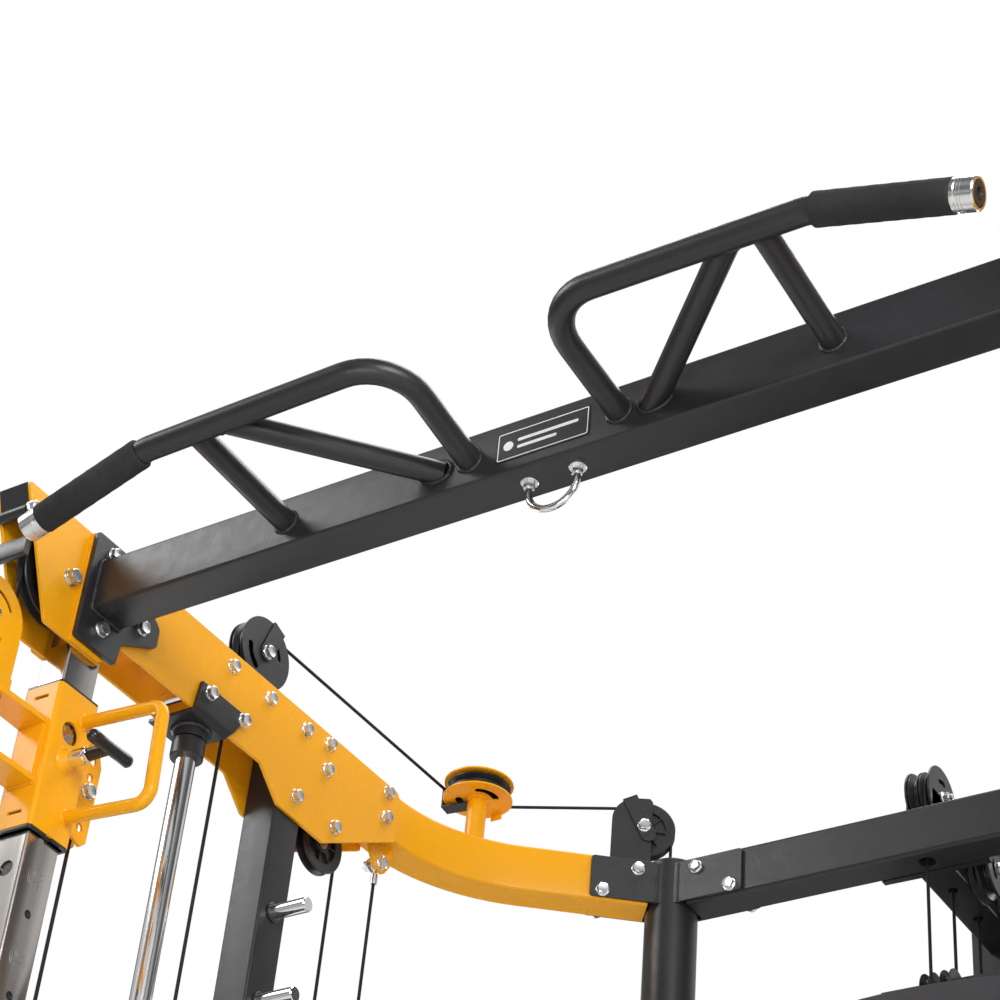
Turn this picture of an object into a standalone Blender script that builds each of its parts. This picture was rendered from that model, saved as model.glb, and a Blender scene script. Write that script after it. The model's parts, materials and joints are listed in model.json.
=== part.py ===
"""Functional trainer with two cable towers, a guided bar and one weight stack.

Metres, +Z up. The user stands in front, at -Y, and X = 0 is the middle plane. The floor is
Z = 0. Each side is built by the same functions: side is -1 for the left and 1 for the right,
and a distance from the middle plane is called out.
"""

import math

import bmesh
import bpy
from mathutils import Matrix, Vector

SIDES = {"left": -1, "right": 1}
GAP = 0.0003

# Towers: two head plates with a clear slot between them hold everything at the top.
TOWER = 0.747
SLOT = 0.060
PLATE = 0.005
INNER_FACE = TOWER - SLOT / 2 - PLATE
TOP = 2.200
TUBE_W = 0.060
TUBE_H = 0.080
TUBE_CORNER = 0.005
RAIL_TOP = 0.080
UPRIGHT_FOOT = RAIL_TOP + GAP + 0.004

# Places along Y.
BASE_FRONT = -0.880
BASE_REAR = 0.880
COLUMN_Y = -0.623
BEAM_Y = -0.621
ROD_Y = -0.371
UPRIGHT_Y = -0.170
LUG_Y = 0.089
REAR_Y = 0.473

# Stainless column and its adjustment holes.
COLUMN_W = SLOT - 2 * PLATE - 2 * GAP
COLUMN_D = 0.060
PIN_TOP = 1.859
PIN_PITCH = 0.110
PIN_HOLES = 13
PIN_R = 0.005

# Pulleys, by the radius at which the cable runs.
CABLE_R = 0.003
HEAD_PULLEY = Vector((0, -0.687, 2.110))
HEAD_R = 0.058
PLATE_PULLEY = Vector((0, -0.056, 2.048))
PLATE_R = 0.043
TOP_PULLEY = Vector((0, -0.272, 2.249))
TOP_PULLEY_OUT = TOWER - 0.012
TOP_R = 0.047
FLAT_PULLEY_OUT = 0.690
FLAT_PULLEY_Y = 0.262
FLAT_PULLEY_Z = 2.298
FLAT_R = 0.046
COLUMN_PULLEY_BACK = 0.0506
COLUMN_PULLEY_Z = 2.269
COLUMN_R = 0.045
FLAT_GUARD_R = 0.057
SWIVEL_Y = HEAD_PULLEY.y - HEAD_R
CARRIAGE_CABLE_Y = COLUMN_Y + 0.067
CARRIAGE_CABLE_TOP = 1.850
UPPER_CABLE_Y = TOP_PULLEY.y - TOP_R
CABLE_END = 0.047
SWIVEL_R = 0.047
FLOAT_Z = 0.600

# Carriage.
CARRIAGE_LOW = 1.748
CARRIAGE_HIGH = 1.962
CARRIAGE_W = 0.064
CARRIAGE_D = 0.076
ARM_Z = (1.813, 1.900)
ARM_T = 0.008
ARM_HALF = 0.021
SWIVEL_MIDDLE = sum(ARM_Z) / 2
SWIVEL_PULLEY_UP = 0.1335

# Round rear columns and the curved tubes that lead to them.
REAR_OUT = 0.440
REAR_R = 0.0425
REAR_BORE = 0.036
CURVE_CORNER_Y = 0.229
CURVE_R = 0.300

# Guided bar.
ROD_R = 0.015
BAR_Y = -0.412
STOP_TOP = 0.400
SLIDER_H = 0.100
BAR_Z = STOP_TOP + GAP + SLIDER_H / 2
BAR_R = 0.014
SLEEVE_R = 0.025
BAR_HALF = 1.080
PEG_TOP = 1.867
PEG_PITCH = 0.138
PEGS = 11

# Weight stack.
STACK_Y = 0.620
STACK_W = 0.260
STACK_D = 0.110
STACK_FLOOR = 0.120
PLATE_PITCH = 0.024
RESTING = 13
LIFTED = 5
STACK_ROD = 0.098
STACK_PULLEY_R = 0.049
STACK_PULLEY_Z = 0.800
STACK_ROD_R = 0.0125
STACK_FRAME_LOW = 1.960
HANGER_Y = 0.785
HANGER_T = 0.010

PAINT = {
    "yellow": ((0.90, 0.47, 0.025), 0.35, 0.0),
    "black": ((0.030, 0.031, 0.034), 0.45, 0.0),
    "stainless": ((0.60, 0.58, 0.56), 0.22, 1.0),
    "chrome": ((0.80, 0.80, 0.81), 0.08, 1.0),
    "foam": ((0.018, 0.018, 0.020), 0.90, 0.0),
    "nylon": ((0.022, 0.022, 0.024), 0.40, 0.0),
    "rubber": ((0.020, 0.020, 0.021), 0.70, 0.0),
    "cable": ((0.025, 0.025, 0.027), 0.50, 0.0),
    "iron": ((0.060, 0.060, 0.065), 0.55, 0.3),
    "panel": ((0.050, 0.048, 0.055), 0.50, 0.0),
}


# Helpers for shapes


def material(paint):
    """The Principled material of this paint, made on its first use."""
    found = bpy.data.materials.get(paint)
    if found:
        return found
    made = bpy.data.materials.new(paint)
    made.use_nodes = True
    colour, roughness, metallic = PAINT[paint]
    shader = made.node_tree.nodes["Principled BSDF"]
    shader.inputs["Base Color"].default_value = (*colour, 1)
    shader.inputs["Roughness"].default_value = roughness
    shader.inputs["Metallic"].default_value = metallic
    return made


def shape(mesh_data):
    """A helper object that holds this bmesh as a closed mesh facing out."""
    bmesh.ops.recalc_face_normals(mesh_data, faces=mesh_data.faces[:])
    mesh = bpy.data.meshes.new("shape")
    mesh_data.to_mesh(mesh)
    mesh_data.free()
    made = bpy.data.objects.new("shape", mesh)
    bpy.context.scene.collection.objects.link(made)
    return made


def loft(rings, closed_path=False):
    """A skin over rings of equally many points, with an end face on the first and last ring."""
    data = bmesh.new()
    rows = [[data.verts.new(point) for point in ring] for ring in rings]
    pairs = list(zip(rows, rows[1:]))
    if closed_path:
        pairs.append((rows[-1], rows[0]))
    for row, after in pairs:
        for i in range(len(row)):
            j = (i + 1) % len(row)
            data.faces.new((row[i], row[j], after[j], after[i]))
    if not closed_path:
        data.faces.new(rows[0])
        data.faces.new(rows[-1])
    return shape(data)


def prism(outline, axis, start, end):
    """An outline in the two other axes, pushed along axis from start to end."""

    def at(point, along):
        values = list(point)
        values.insert("xyz".index(axis), along)
        return Vector(values)

    return loft([[at(p, start) for p in outline], [at(p, end) for p in outline]])


def box(low, high):
    outline = [(low[0], low[1]), (high[0], low[1]), (high[0], high[1]), (low[0], high[1])]
    return prism(outline, "z", low[2], high[2])


def rounded(width, height, radius, centre=(0, 0), steps=3):
    """The outline of a rectangle with round corners."""
    points = []
    for corner in range(4):
        turn = math.pi / 2 * corner
        sx = 1 if corner in (0, 3) else -1
        sy = 1 if corner in (0, 1) else -1
        for step in range(steps + 1):
            angle = turn + math.pi / 2 * step / steps
            x = centre[0] + sx * (width / 2 - radius) + radius * math.cos(angle)
            y = centre[1] + sy * (height / 2 - radius) + radius * math.sin(angle)
            points.append((x, y))
    return points


def disc(centre, radius, steps):
    """The outline of a circle."""
    turns = [2 * math.pi * i / steps for i in range(steps)]
    return [(centre[0] + radius * math.cos(t), centre[1] + radius * math.sin(t)) for t in turns]


def tube_along(path, radius, steps=12):
    """A round bar along a path, each ring square to the path."""
    path = [Vector(p) for p in path]
    directions = [(b - a).normalized() for a, b in zip(path, path[1:])]
    side = directions[0].orthogonal().normalized()
    rings = []
    for i, point in enumerate(path):
        before = directions[max(i - 1, 0)]
        after = directions[min(i, len(directions) - 1)]
        middle = (before + after).normalized()
        side = (side - middle * side.dot(middle)).normalized()
        other = middle.cross(side)
        turns = [2 * math.pi * k / steps for k in range(steps)]
        rings.append([point + radius * (side * math.cos(t) + other * math.sin(t)) for t in turns])
    return loft(rings)


def rod(start, end, radius, steps=16):
    return tube_along([start, end], radius, steps)


def ring(profile, centre, axis, steps=24):
    """A closed profile of (radius, along) points turned about an axis through centre."""
    axis = Vector(axis).normalized()
    side = Vector((0, 0, 1)) if abs(axis.z) < 0.5 else Vector((0, 1, 0))
    side = (side - axis * side.dot(axis)).normalized()
    other = axis.cross(side)
    centre = Vector(centre)
    rings = []
    for k in range(steps):
        turn = 2 * math.pi * k / steps
        outward = side * math.cos(turn) + other * math.sin(turn)
        rings.append([centre + outward * r + axis * along for r, along in profile])
    return loft(rings, closed_path=True)


def filleted(points, radius, steps=6):
    """The points of a path with an arc of this radius at each inner corner."""
    points = [Vector(p) for p in points]
    path = [points[0]]
    for before, corner, after in zip(points, points[1:], points[2:]):
        back = (before - corner).normalized()
        ahead = (after - corner).normalized()
        half = back.angle(ahead) / 2
        reach = radius / math.tan(half)
        middle = corner + (back + ahead).normalized() * radius / math.sin(half)
        start = corner + back * reach - middle
        turn_axis = start.cross(corner + ahead * reach - middle).normalized()
        total = math.pi - 2 * half
        for step in range(steps + 1):
            turn = Matrix.Rotation(total * step / steps, 3, turn_axis)
            path.append(middle + turn @ start)
    path.append(points[-1])
    return path


def arc(centre, radius, start, end, across, up, steps):
    """Points on a circle from angle start to end, in degrees, from across towards up."""
    points = []
    for step in range(steps + 1):
        turn = math.radians(start + (end - start) * step / steps)
        points.append(centre + radius * (across * math.cos(turn) + up * math.sin(turn)))
    return points


def with_modifiers(obj):
    """The object's mesh as its modifiers leave it."""
    bpy.context.view_layer.update()
    graph = bpy.context.evaluated_depsgraph_get()
    return bpy.data.meshes.new_from_object(obj.evaluated_get(graph))


def part(name, paint, pieces, cuts=(), pivot=(0, 0, 0)):
    """One named solid: the pieces joined, less the cuts, with its origin at pivot."""
    body = pieces[0]
    tools = [(piece, "UNION") for piece in pieces[1:]] + [(cut, "DIFFERENCE") for cut in cuts]
    for tool, operation in tools:
        modifier = body.modifiers.new(operation, "BOOLEAN")
        modifier.object = tool
        modifier.operation = operation
    mesh = with_modifiers(body)
    mesh.name = name
    mesh.transform(Matrix.Translation(-Vector(pivot)))
    mesh.materials.clear()
    mesh.materials.append(material(paint))
    mesh.shade_smooth()
    mesh.set_sharp_from_angle(angle=math.radians(32))
    for helper in [body] + [tool for tool, operation in tools]:
        bpy.data.objects.remove(helper, do_unlink=True)
    made = bpy.data.objects.new(name, mesh)
    made.location = pivot
    bpy.context.scene.collection.objects.link(made)
    return made


def cable(name, route):
    """A cable along a route of points, as one curve with filled caps."""
    data = bpy.data.curves.new(name, "CURVE")
    data.dimensions = "3D"
    data.bevel_depth = CABLE_R
    data.bevel_resolution = 2
    data.use_fill_caps = True
    spline = data.splines.new("POLY")
    spline.points.add(len(route) - 1)
    for point, place in zip(spline.points, route):
        point.co = (*place, 1)
    data.materials.append(material("cable"))
    made = bpy.data.objects.new(name, data)
    bpy.context.scene.collection.objects.link(made)
    return made


def pulley(name, centre, axis, run, steps=16):
    """A grooved wheel whose cable runs at radius run."""
    floor = run - CABLE_R - 0.0006
    rim = run + 0.006
    profile = [
        (0.0055, -0.0105),
        (rim, -0.0085),
        (rim, -0.0058),
        (floor, -0.0040),
        (floor, 0.0040),
        (rim, 0.0058),
        (rim, 0.0085),
        (0.0055, 0.0105),
    ]
    return part(name, "nylon", [ring(profile, centre, axis, steps)], pivot=centre)


def slab(side, out_low, out_high, outline):
    """An outline in Y and Z, between two distances from the middle plane."""
    return prism(outline, "x", side * out_low, side * out_high)


def block(side, outs, ys, zs):
    return box(
        (min(side * outs[0], side * outs[1]), ys[0], zs[0]),
        (max(side * outs[0], side * outs[1]), ys[1], zs[1]),
    )


# Static frame


def base_rail(label, side):
    """The floor rail of one tower, bent inwards behind it to the foot of the rear column."""
    path = filleted(
        [
            (side * TOWER, BASE_FRONT, 0),
            (side * TOWER, 0.12, 0),
            (side * (REAR_OUT + 0.08), REAR_Y, 0),
            (side * (REAR_OUT - TUBE_W), REAR_Y, 0),
        ],
        0.12,
        steps=4,
    )
    pieces = [sweep_rectangle(path, TUBE_W, 0, RAIL_TOP)]
    cuts = []
    holes = [(TOWER, SWIVEL_Y), (TOWER, CARRIAGE_CABLE_Y), (TOP_PULLEY_OUT, UPPER_CABLE_Y)]
    for out, y in holes:
        cuts.append(rod((side * out, y, 0.045), (side * out, y, RAIL_TOP + 0.01), 0.006, 8))
    part(f"base_rail_{label}", "black", pieces, cuts)


def sweep_rectangle(path, width, low, high):
    """A rectangular tube with its sides upright, along a level path."""
    rings = []
    outline = rounded(width, high - low, TUBE_CORNER, (0, (low + high) / 2))
    for i, point in enumerate(path):
        before = (point - path[i - 1]).normalized() if i else None
        after = (path[i + 1] - point).normalized() if i + 1 < len(path) else None
        tangent = ((before or after) + (after or before)).normalized()
        across = Vector((tangent.y, -tangent.x, 0))
        stretch = 1 / max(across.dot(Vector(((before or after).y, -(before or after).x, 0))), 0.5)
        rings.append([point + across * x * stretch + Vector((0, 0, z)) for x, z in outline])
    return loft(rings)


def rear_base():
    """The cross tube between the rear columns and the foot of the weight stack."""
    end = REAR_OUT - TUBE_W - GAP
    cross = rounded(TUBE_W, RAIL_TOP, TUBE_CORNER, (REAR_Y, RAIL_TOP / 2))
    spine = rounded(TUBE_W * 2, RAIL_TOP - 0.002, TUBE_CORNER, (0, RAIL_TOP / 2))
    tray = box((-0.15, STACK_Y - 0.07, 0.060), (0.15, STACK_Y + 0.07, STACK_FLOOR - GAP))
    pieces = [
        prism(cross, "x", -end, end),
        prism(spine, "y", REAR_Y, BASE_REAR - 0.04),
        box((-0.22, BASE_REAR - 0.06, 0), (0.22, BASE_REAR, 0.04)),
        tray,
    ]
    cuts = [rod((0, REAR_Y + 0.002, 0.045), (0, REAR_Y + 0.002, 0.1), 0.006, 10)]
    for out in (-STACK_ROD, STACK_ROD):
        cuts.append(rod((out, STACK_Y, 0.09), (out, STACK_Y, 0.2), 0.0129, 14))
    cuts.append(rod((0, STACK_Y, 0.09), (0, STACK_Y, 0.2), 0.0129, 14))
    part("rear_base", "black", pieces, cuts)


def foot(side, out, y, half_x, half_y):
    """The bolted foot plate of an upright, on top of the rail."""
    low = RAIL_TOP + GAP
    return block(side, (out - half_x, out + half_x), (y - half_y, y + half_y), (low, low + 0.008))


def front_column(label, side):
    """The stainless column: a row of pin holes on its inner face and a forked top."""
    outline = rounded(COLUMN_W, COLUMN_D, 0.004, (side * TOWER, COLUMN_Y), 2)
    pieces = [
        prism(outline, "z", UPRIGHT_FOOT, TOP - 0.004),
        foot(side, TOWER, COLUMN_Y, 0.029, 0.042),
    ]
    face = TOWER - COLUMN_W / 2
    fork = block(side, (TOWER - 0.014, TOWER + 0.014), (-0.75, -0.50), (2.030, TOP + 0.01))
    cuts = [fork]
    for hole in range(PIN_HOLES):
        z = PIN_TOP - PIN_PITCH * hole
        deep = side * (face + 0.022)
        cuts.append(rod((side * (face - 0.01), COLUMN_Y, z), (deep, COLUMN_Y, z), 0.0058, 8))
    part(f"front_column_{label}", "stainless", pieces, cuts)


def smith_upright(label, side):
    """The square upright behind the guide rod, with its row of latch pegs."""
    outline = rounded(SLOT - 2 * GAP, TUBE_W, TUBE_CORNER, (side * TOWER, UPRIGHT_Y))
    pieces = [
        prism(outline, "z", UPRIGHT_FOOT, TOP - 0.004),
        foot(side, TOWER, UPRIGHT_Y, 0.029, 0.050),
    ]
    face = TOWER - SLOT / 2
    for peg in range(PEGS):
        z = PEG_TOP - PEG_PITCH * peg
        start = (side * (face + 0.010), UPRIGHT_Y, z)
        pieces.append(rod(start, (side * (face - 0.062), UPRIGHT_Y, z), 0.011, 10))
    z = run_height(UPRIGHT_Y)
    window = [
        rod((side * TOWER, UPRIGHT_Y - 0.1, z), (side * TOWER, UPRIGHT_Y + 0.1, z), 0.010, 12)
    ]
    part(f"smith_upright_{label}", "black", pieces, window)


PLATE_OUTLINE = [
    (-0.668, TOP),
    (0.077, TOP),
    (0.084, TOP - 0.008),
    (0.084, 2.115),
    (-0.089, 2.022),
    (-0.203, 2.025),
    (-0.253, 2.067),
    (-0.570, 2.067),
    (-0.606, 2.027),
    (-0.668, 2.027),
]
CHEEK_OUTLINE = [
    (-0.793, TOP),
    (-0.797, TOP - 0.005),
    (-0.714, 2.029),
    (-0.710, 2.027),
    (-0.600, 2.027),
    (-0.600, TOP),
]


def head_plates(label, side):
    """The two plates of one tower's head, each with its cheek for the head pulley inside."""
    inner = [
        slab(side, INNER_FACE, INNER_FACE + PLATE, PLATE_OUTLINE),
        slab(side, INNER_FACE + PLATE - 0.0002, INNER_FACE + 2 * PLATE, CHEEK_OUTLINE),
    ]
    outer_face = TOWER + SLOT / 2
    outer = [
        slab(side, outer_face, outer_face + PLATE, PLATE_OUTLINE),
        slab(side, outer_face - PLATE, outer_face + 0.0002, CHEEK_OUTLINE),
    ]
    part(f"inner_head_plate_{label}", "yellow", inner)
    part(f"outer_head_plate_{label}", "yellow", outer)


def plan_point(side, out, y, z=0.0):
    return Vector((side * out, y, z))


def curve_ahead(side):
    """The level direction of the curved tube where it meets the rear column."""
    start = plan_point(side, TOWER, CURVE_CORNER_Y)
    return (plan_point(side, REAR_OUT, REAR_Y) - start).normalized()


def curved_top_tube(label, side):
    """The tube from the head plates round to the rear column, with its pulley post and lug."""
    end = plan_point(side, REAR_OUT, REAR_Y) - curve_ahead(side) * (REAR_R + 2 * GAP)
    corner = plan_point(side, TOWER, CURVE_CORNER_Y)
    path = filleted([plan_point(side, TOWER, -0.130), corner, end], CURVE_R, steps=8)
    post = (side * FLAT_PULLEY_OUT, FLAT_PULLEY_Y)
    lug = [
        (LUG_Y - 0.045, TOP - TUBE_H + 0.004),
        (LUG_Y - 0.040, 2.085),
        (LUG_Y - 0.012, 2.068),
        (LUG_Y + 0.012, 2.068),
        (LUG_Y + 0.022, 2.085),
        (LUG_Y + 0.026, TOP - TUBE_H + 0.004),
    ]
    pieces = [
        sweep_rectangle(path, SLOT - 2 * GAP, TOP - TUBE_H, TOP),
        rod((*post, TOP - 0.006), (*post, FLAT_PULLEY_Z - 0.013), 0.016),
        prism(disc(post, FLAT_GUARD_R, 20), "z", FLAT_PULLEY_Z - 0.0155, FLAT_PULLEY_Z - 0.0125),
        slab(side, TOWER - 0.003, TOWER + 0.003, lug),
    ]
    part(f"curved_top_tube_{label}", "yellow", pieces)


def rear_column(label, side):
    """The round column with cheeks for both top tubes and the fork of its pulley."""
    foot_point = plan_point(side, REAR_OUT, REAR_Y)
    centre = (foot_point.x, foot_point.y)
    pieces = [
        prism(disc(centre, REAR_R, 24), "z", UPRIGHT_FOOT, TOP + 0.004),
        foot(side, REAR_OUT, REAR_Y, 0.058, 0.029),
    ]
    middle = TOP - TUBE_H / 2
    for ahead, reach in ((-curve_ahead(side), 0.130), (Vector((-side, 0, 0)), 0.139)):
        across = Vector((ahead.y, -ahead.x, 0))
        for flank in (-1, 1):
            near = foot_point + across * flank * (TUBE_W / 2 + GAP)
            far = near + across * flank * 0.0055
            start, end = ahead * 0.020, ahead * reach
            corners = [near + start, near + end, far + end, far + start]
            outline = [(corner.x, corner.y) for corner in corners]
            pieces.append(prism(outline, "z", middle - 0.032, middle + 0.036))
    pieces += column_forks(side, foot_point)
    bore = [prism(disc(centre, REAR_BORE, 16), "z", RAIL_TOP + 0.03, TOP + 0.1)]
    part(f"rear_column_{label}", "black", pieces, bore)


def touch_angle(side, point):
    """The angle, from outwards towards +Y, where a line from point touches the flat pulley."""
    outward = Vector((side, 0, 0))
    away = point - flat_pulley_place(side)
    heading = math.atan2(away.y, away.dot(outward))
    reach = math.hypot(away.y, away.dot(outward))
    lean = math.acos(FLAT_R / reach)
    wanted = math.radians(25)
    best = max((heading + lean, heading - lean), key=lambda turn: math.cos(turn - wanted))
    return math.degrees(best)


def flat_pulley_place(side):
    return plan_point(side, FLAT_PULLEY_OUT, FLAT_PULLEY_Y, FLAT_PULLEY_Z)


def column_pulley_place(side):
    """The middle of the column pulley and the level direction of the cable over it."""
    place = plan_point(side, REAR_OUT, REAR_Y) - curve_ahead(side) * COLUMN_PULLEY_BACK
    turn = math.radians(touch_angle(side, place))
    touch = flat_pulley_place(side)
    touch += FLAT_R * Vector((side * math.cos(turn), math.sin(turn), 0))
    ahead = place - touch
    ahead.z = 0
    place.z = COLUMN_PULLEY_Z
    return place, ahead.normalized()


def column_forks(side, foot_point):
    """The two upright plates that hold the column pulley, rounded at the top."""
    place, ahead = column_pulley_place(side)
    across = Vector((ahead.y, -ahead.x, 0))
    half = 0.032
    profile = [(half, -0.060), (half, 0.012)]
    profile += [(half * math.cos(a), 0.012 + half * math.sin(a)) for a in (0.5, 1.0, 1.57, 2.14, 2.64)]
    profile += [(-half, 0.012), (-half, -0.066), (0.014, -0.066), (0.014, -0.100), (half, -0.100)]
    forks = []
    for flank in (-1, 1):
        rings = []
        for depth in (0.0125, 0.0165):
            shift = place + across * flank * depth
            rings.append([shift + ahead * a + Vector((0, 0, z)) for a, z in profile])
        forks.append(loft(rings))
    return forks


def rear_top_tube():
    """The tube between the rear columns, with a cable hole through its middle."""
    end = REAR_OUT - REAR_R - 2 * GAP
    outline = rounded(TUBE_W, TUBE_H, TUBE_CORNER, (REAR_Y, TOP - TUBE_H / 2))
    hole = rod((0, REAR_Y + 0.002, 2.0), (0, REAR_Y + 0.002, 2.3), 0.014, 20)
    part("rear_top_tube", "black", [prism(outline, "x", -end, end)], [hole])


def stack_top_beam():
    """The beam over the weight stack, with the hanger and plate that hold the stack's rods."""
    front = REAR_Y + TUBE_W / 2 + GAP
    outline = rounded(TUBE_W, TUBE_H, TUBE_CORNER, (0, TOP - TUBE_H / 2))
    end = HANGER_Y + HANGER_T
    plate_top = STACK_FRAME_LOW + 0.020
    pieces = [
        prism(outline, "y", front + 0.004, HANGER_Y + 0.005),
        box((-0.088, front, TOP - TUBE_H), (0.088, front + 0.012, TOP)),
        box((-0.060, HANGER_Y, STACK_FRAME_LOW), (0.060, end, TOP)),
        box((-0.130, STACK_Y - 0.035, STACK_FRAME_LOW), (0.130, HANGER_Y + 0.002, plate_top)),
    ]
    cuts = []
    for y in (STACK_Y - STACK_PULLEY_R, STACK_Y + STACK_PULLEY_R):
        cuts.append(rod((0, y, 2.05), (0, y, TOP - 0.03), 0.0085, 14))
    rear_run = STACK_Y + STACK_PULLEY_R
    cuts.append(rod((0, rear_run, STACK_FRAME_LOW - 0.01), (0, rear_run, plate_top + 0.01), 0.0085, 14))
    for out in (-STACK_ROD, STACK_ROD):
        socket = (out, STACK_Y, STACK_FRAME_LOW - 0.01), (out, STACK_Y, STACK_FRAME_LOW + 0.010)
        cuts.append(rod(*socket, STACK_ROD_R + 0.0004, 14))
    part("stack_top_beam", "black", pieces, cuts)


# Multi-grip bars, as (distance from the middle, Y, Z) on their centre lines.
GRIP_FOOT = (0.106, -0.645, 2.117)
GRIP_BEND = (0.102, -0.832, 2.144)
GRIP_WRIST = (0.453, -0.854, 2.113)
GRIP_END = (0.640, -0.8443, 2.0595)
LONG_BRACE = ((0.148, -0.645, 2.116), (0.345, -0.832, 2.133))
SHORT_BRACE = ((0.386, -0.645, 2.117), (0.390, -0.835, 2.128))
GRIP_FILLET = 0.072
GRIP_R = 0.016
FLANGE_OUTLINE = [
    (-0.667, TOP),
    (-0.610, TOP),
    (-0.524, 2.138),
    (-0.515, 2.130),
    (-0.515, 2.100),
    (-0.581, 2.065),
    (-0.585, 2.028),
    (-0.667, 2.028),
]


def pull_up_beam():
    """The front beam with its end flanges and the multi-grip bars, one welded piece."""
    outline = rounded(TUBE_W, TUBE_H, TUBE_CORNER, (BEAM_Y, TOP - TUBE_H / 2 - 0.040))
    flange_face = INNER_FACE - GAP
    pieces = [prism(outline, "x", -flange_face + 0.004, flange_face - 0.004)]
    for side in SIDES.values():
        pieces.append(slab(side, flange_face - 0.008, flange_face, FLANGE_OUTLINE))
        points = [plan_point(side, *p) for p in (GRIP_FOOT, GRIP_BEND, GRIP_WRIST, GRIP_END)]
        pieces.append(tube_along(filleted(points, GRIP_FILLET, steps=5), GRIP_R, 12))
        for start, end in (LONG_BRACE, SHORT_BRACE):
            pieces.append(rod(plan_point(side, *start), plan_point(side, *end), GRIP_R - 0.0005, 10))
    part("pull_up_beam", "black", pieces)


def foam_grip(label, side):
    """The foam sleeve over the outer stretch of a grip bar."""
    start = plan_point(side, *GRIP_WRIST)
    end = plan_point(side, *GRIP_END)
    along = (end - start).normalized()
    length = (end - start).length
    first = 0.009
    last = length - 0.022
    profile = [(0.0164, first), (0.0195, first), (0.0195, last), (0.0164, last)]
    part(f"foam_grip_{label}", "foam", [ring(profile, start, along, 16)])


def eye_bolt():
    """The bent loop under the pull-up beam for hanging straps."""
    top = TOP - TUBE_H - 0.040 - GAP
    low = top - 0.050
    out = 0.034
    points = [(-out, BEAM_Y, top), (-out, BEAM_Y, low), (out, BEAM_Y, low), (out, BEAM_Y, top)]
    part("eye_bolt", "chrome", [tube_along(filleted(points, 0.0335, steps=6), 0.0045, 8)])


def guide_rod(label, side):
    """The polished rod the bar runs on, with the stop collar at its foot."""
    top = 2.059
    low = RAIL_TOP + GAP
    pieces = [
        rod((side * TOWER, ROD_Y, low + 0.01), (side * TOWER, ROD_Y, top), ROD_R, 24),
        rod((side * TOWER, ROD_Y, low), (side * TOWER, ROD_Y, STOP_TOP), 0.022, 20),
    ]
    part(f"guide_rod_{label}", "chrome", pieces)


def guide_rod_bracket(label, side):
    """The bolted angle under the head plates, with the welded socket of the guide rod."""
    under = 2.067 - GAP
    front = ROD_Y - 0.044
    rear = ROD_Y + 0.038
    wall = [
        (front, under - 0.006),
        (rear, under - 0.006),
        (rear + 0.034, 2.095),
        (rear + 0.034, 2.112),
        (front + 0.006, 2.112),
        (front, 2.106),
    ]
    pieces = [
        slab(side, INNER_FACE - GAP - 0.006, INNER_FACE - GAP, wall),
        block(side, (INNER_FACE - GAP - 0.006, 0.790), (front, rear), (under - 0.006, under)),
        rod((side * TOWER, ROD_Y, 2.038), (side * TOWER, ROD_Y, under - 0.003), 0.024, 24),
    ]
    bore = rod((side * TOWER, ROD_Y, 2.0), (side * TOWER, ROD_Y, under - 0.006), ROD_R + GAP, 24)
    part(f"guide_rod_bracket_{label}", "black", pieces, [bore])


# Cable carriage


def carriage(label, side):
    """The sleeve on the column with its handle, pin boss, swivel arms and cable bracket."""
    low, high = CARRIAGE_LOW, CARRIAGE_HIGH
    inner = TOWER - CARRIAGE_W / 2
    front = COLUMN_Y - CARRIAGE_D / 2
    rear = COLUMN_Y + CARRIAGE_D / 2
    sleeve = rounded(CARRIAGE_W, CARRIAGE_D, 0.006, (side * TOWER, COLUMN_Y), 2)
    handle = [
        (inner + 0.003, -0.606, 1.929),
        (0.581, -0.606, 1.914),
        (0.581, -0.604, 1.784),
        (inner + 0.003, -0.603, 1.788),
    ]
    handle_points = [plan_point(side, *p) for p in handle]
    pieces = [
        prism(sleeve, "z", low, high),
        tube_along(filleted(handle_points, 0.022, steps=4), 0.009, 10),
        rod((side * (inner + 0.003), COLUMN_Y, PIN_TOP), (side * 0.682, COLUMN_Y, PIN_TOP), 0.012, 14),
    ]
    outs = (TOWER - ARM_HALF, TOWER + ARM_HALF)
    web = (ARM_Z[0] - ARM_T / 2 + 0.001, ARM_Z[1] + ARM_T / 2 - 0.001)
    pieces.append(block(side, outs, (front - 0.006, front + 0.001), web))
    for z in ARM_Z:
        end = [(side * outs[0], front + 0.001), (side * outs[1], front + 0.001)]
        for step in range(9):
            turn = math.pi * step / 8
            across = side * ARM_HALF * math.cos(turn)
            end.append((side * TOWER + across, SWIVEL_Y - ARM_HALF * math.sin(turn)))
        pieces.append(prism(end, "z", z - ARM_T / 2, z + ARM_T / 2))
    for out in (TOWER - 0.010, TOWER + 0.010):
        outline = [
            (rear - 0.001, 1.790),
            (rear + 0.036, 1.776),
            (rear + 0.046, 1.786),
            (rear + 0.046, 1.900),
            (rear + 0.030, 1.935),
            (rear - 0.001, 1.935),
        ]
        pieces.append(slab(side, out - 0.002, out + 0.002, outline))
    bore = rounded(COLUMN_W + 0.001, COLUMN_D + 0.001, 0.0015, (side * TOWER, COLUMN_Y), 1)
    hole_z = 1.899
    cuts = [
        prism(bore, "z", low - 0.05, high + 0.05),
        rod((side * (inner - 0.01), -0.626, hole_z), (side * TOWER, -0.626, hole_z), 0.016, 14),
        rod((side * 0.66, COLUMN_Y, PIN_TOP), (side * TOWER, COLUMN_Y, PIN_TOP), PIN_R + 0.0005, 10),
        rod((side * TOWER, SWIVEL_Y, 1.7), (side * TOWER, SWIVEL_Y, 2.0), 0.0128, 14),
    ]
    pivot = (side * TOWER, COLUMN_Y, PIN_TOP)
    part(f"carriage_{label}", "yellow", pieces, cuts, pivot)


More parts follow.
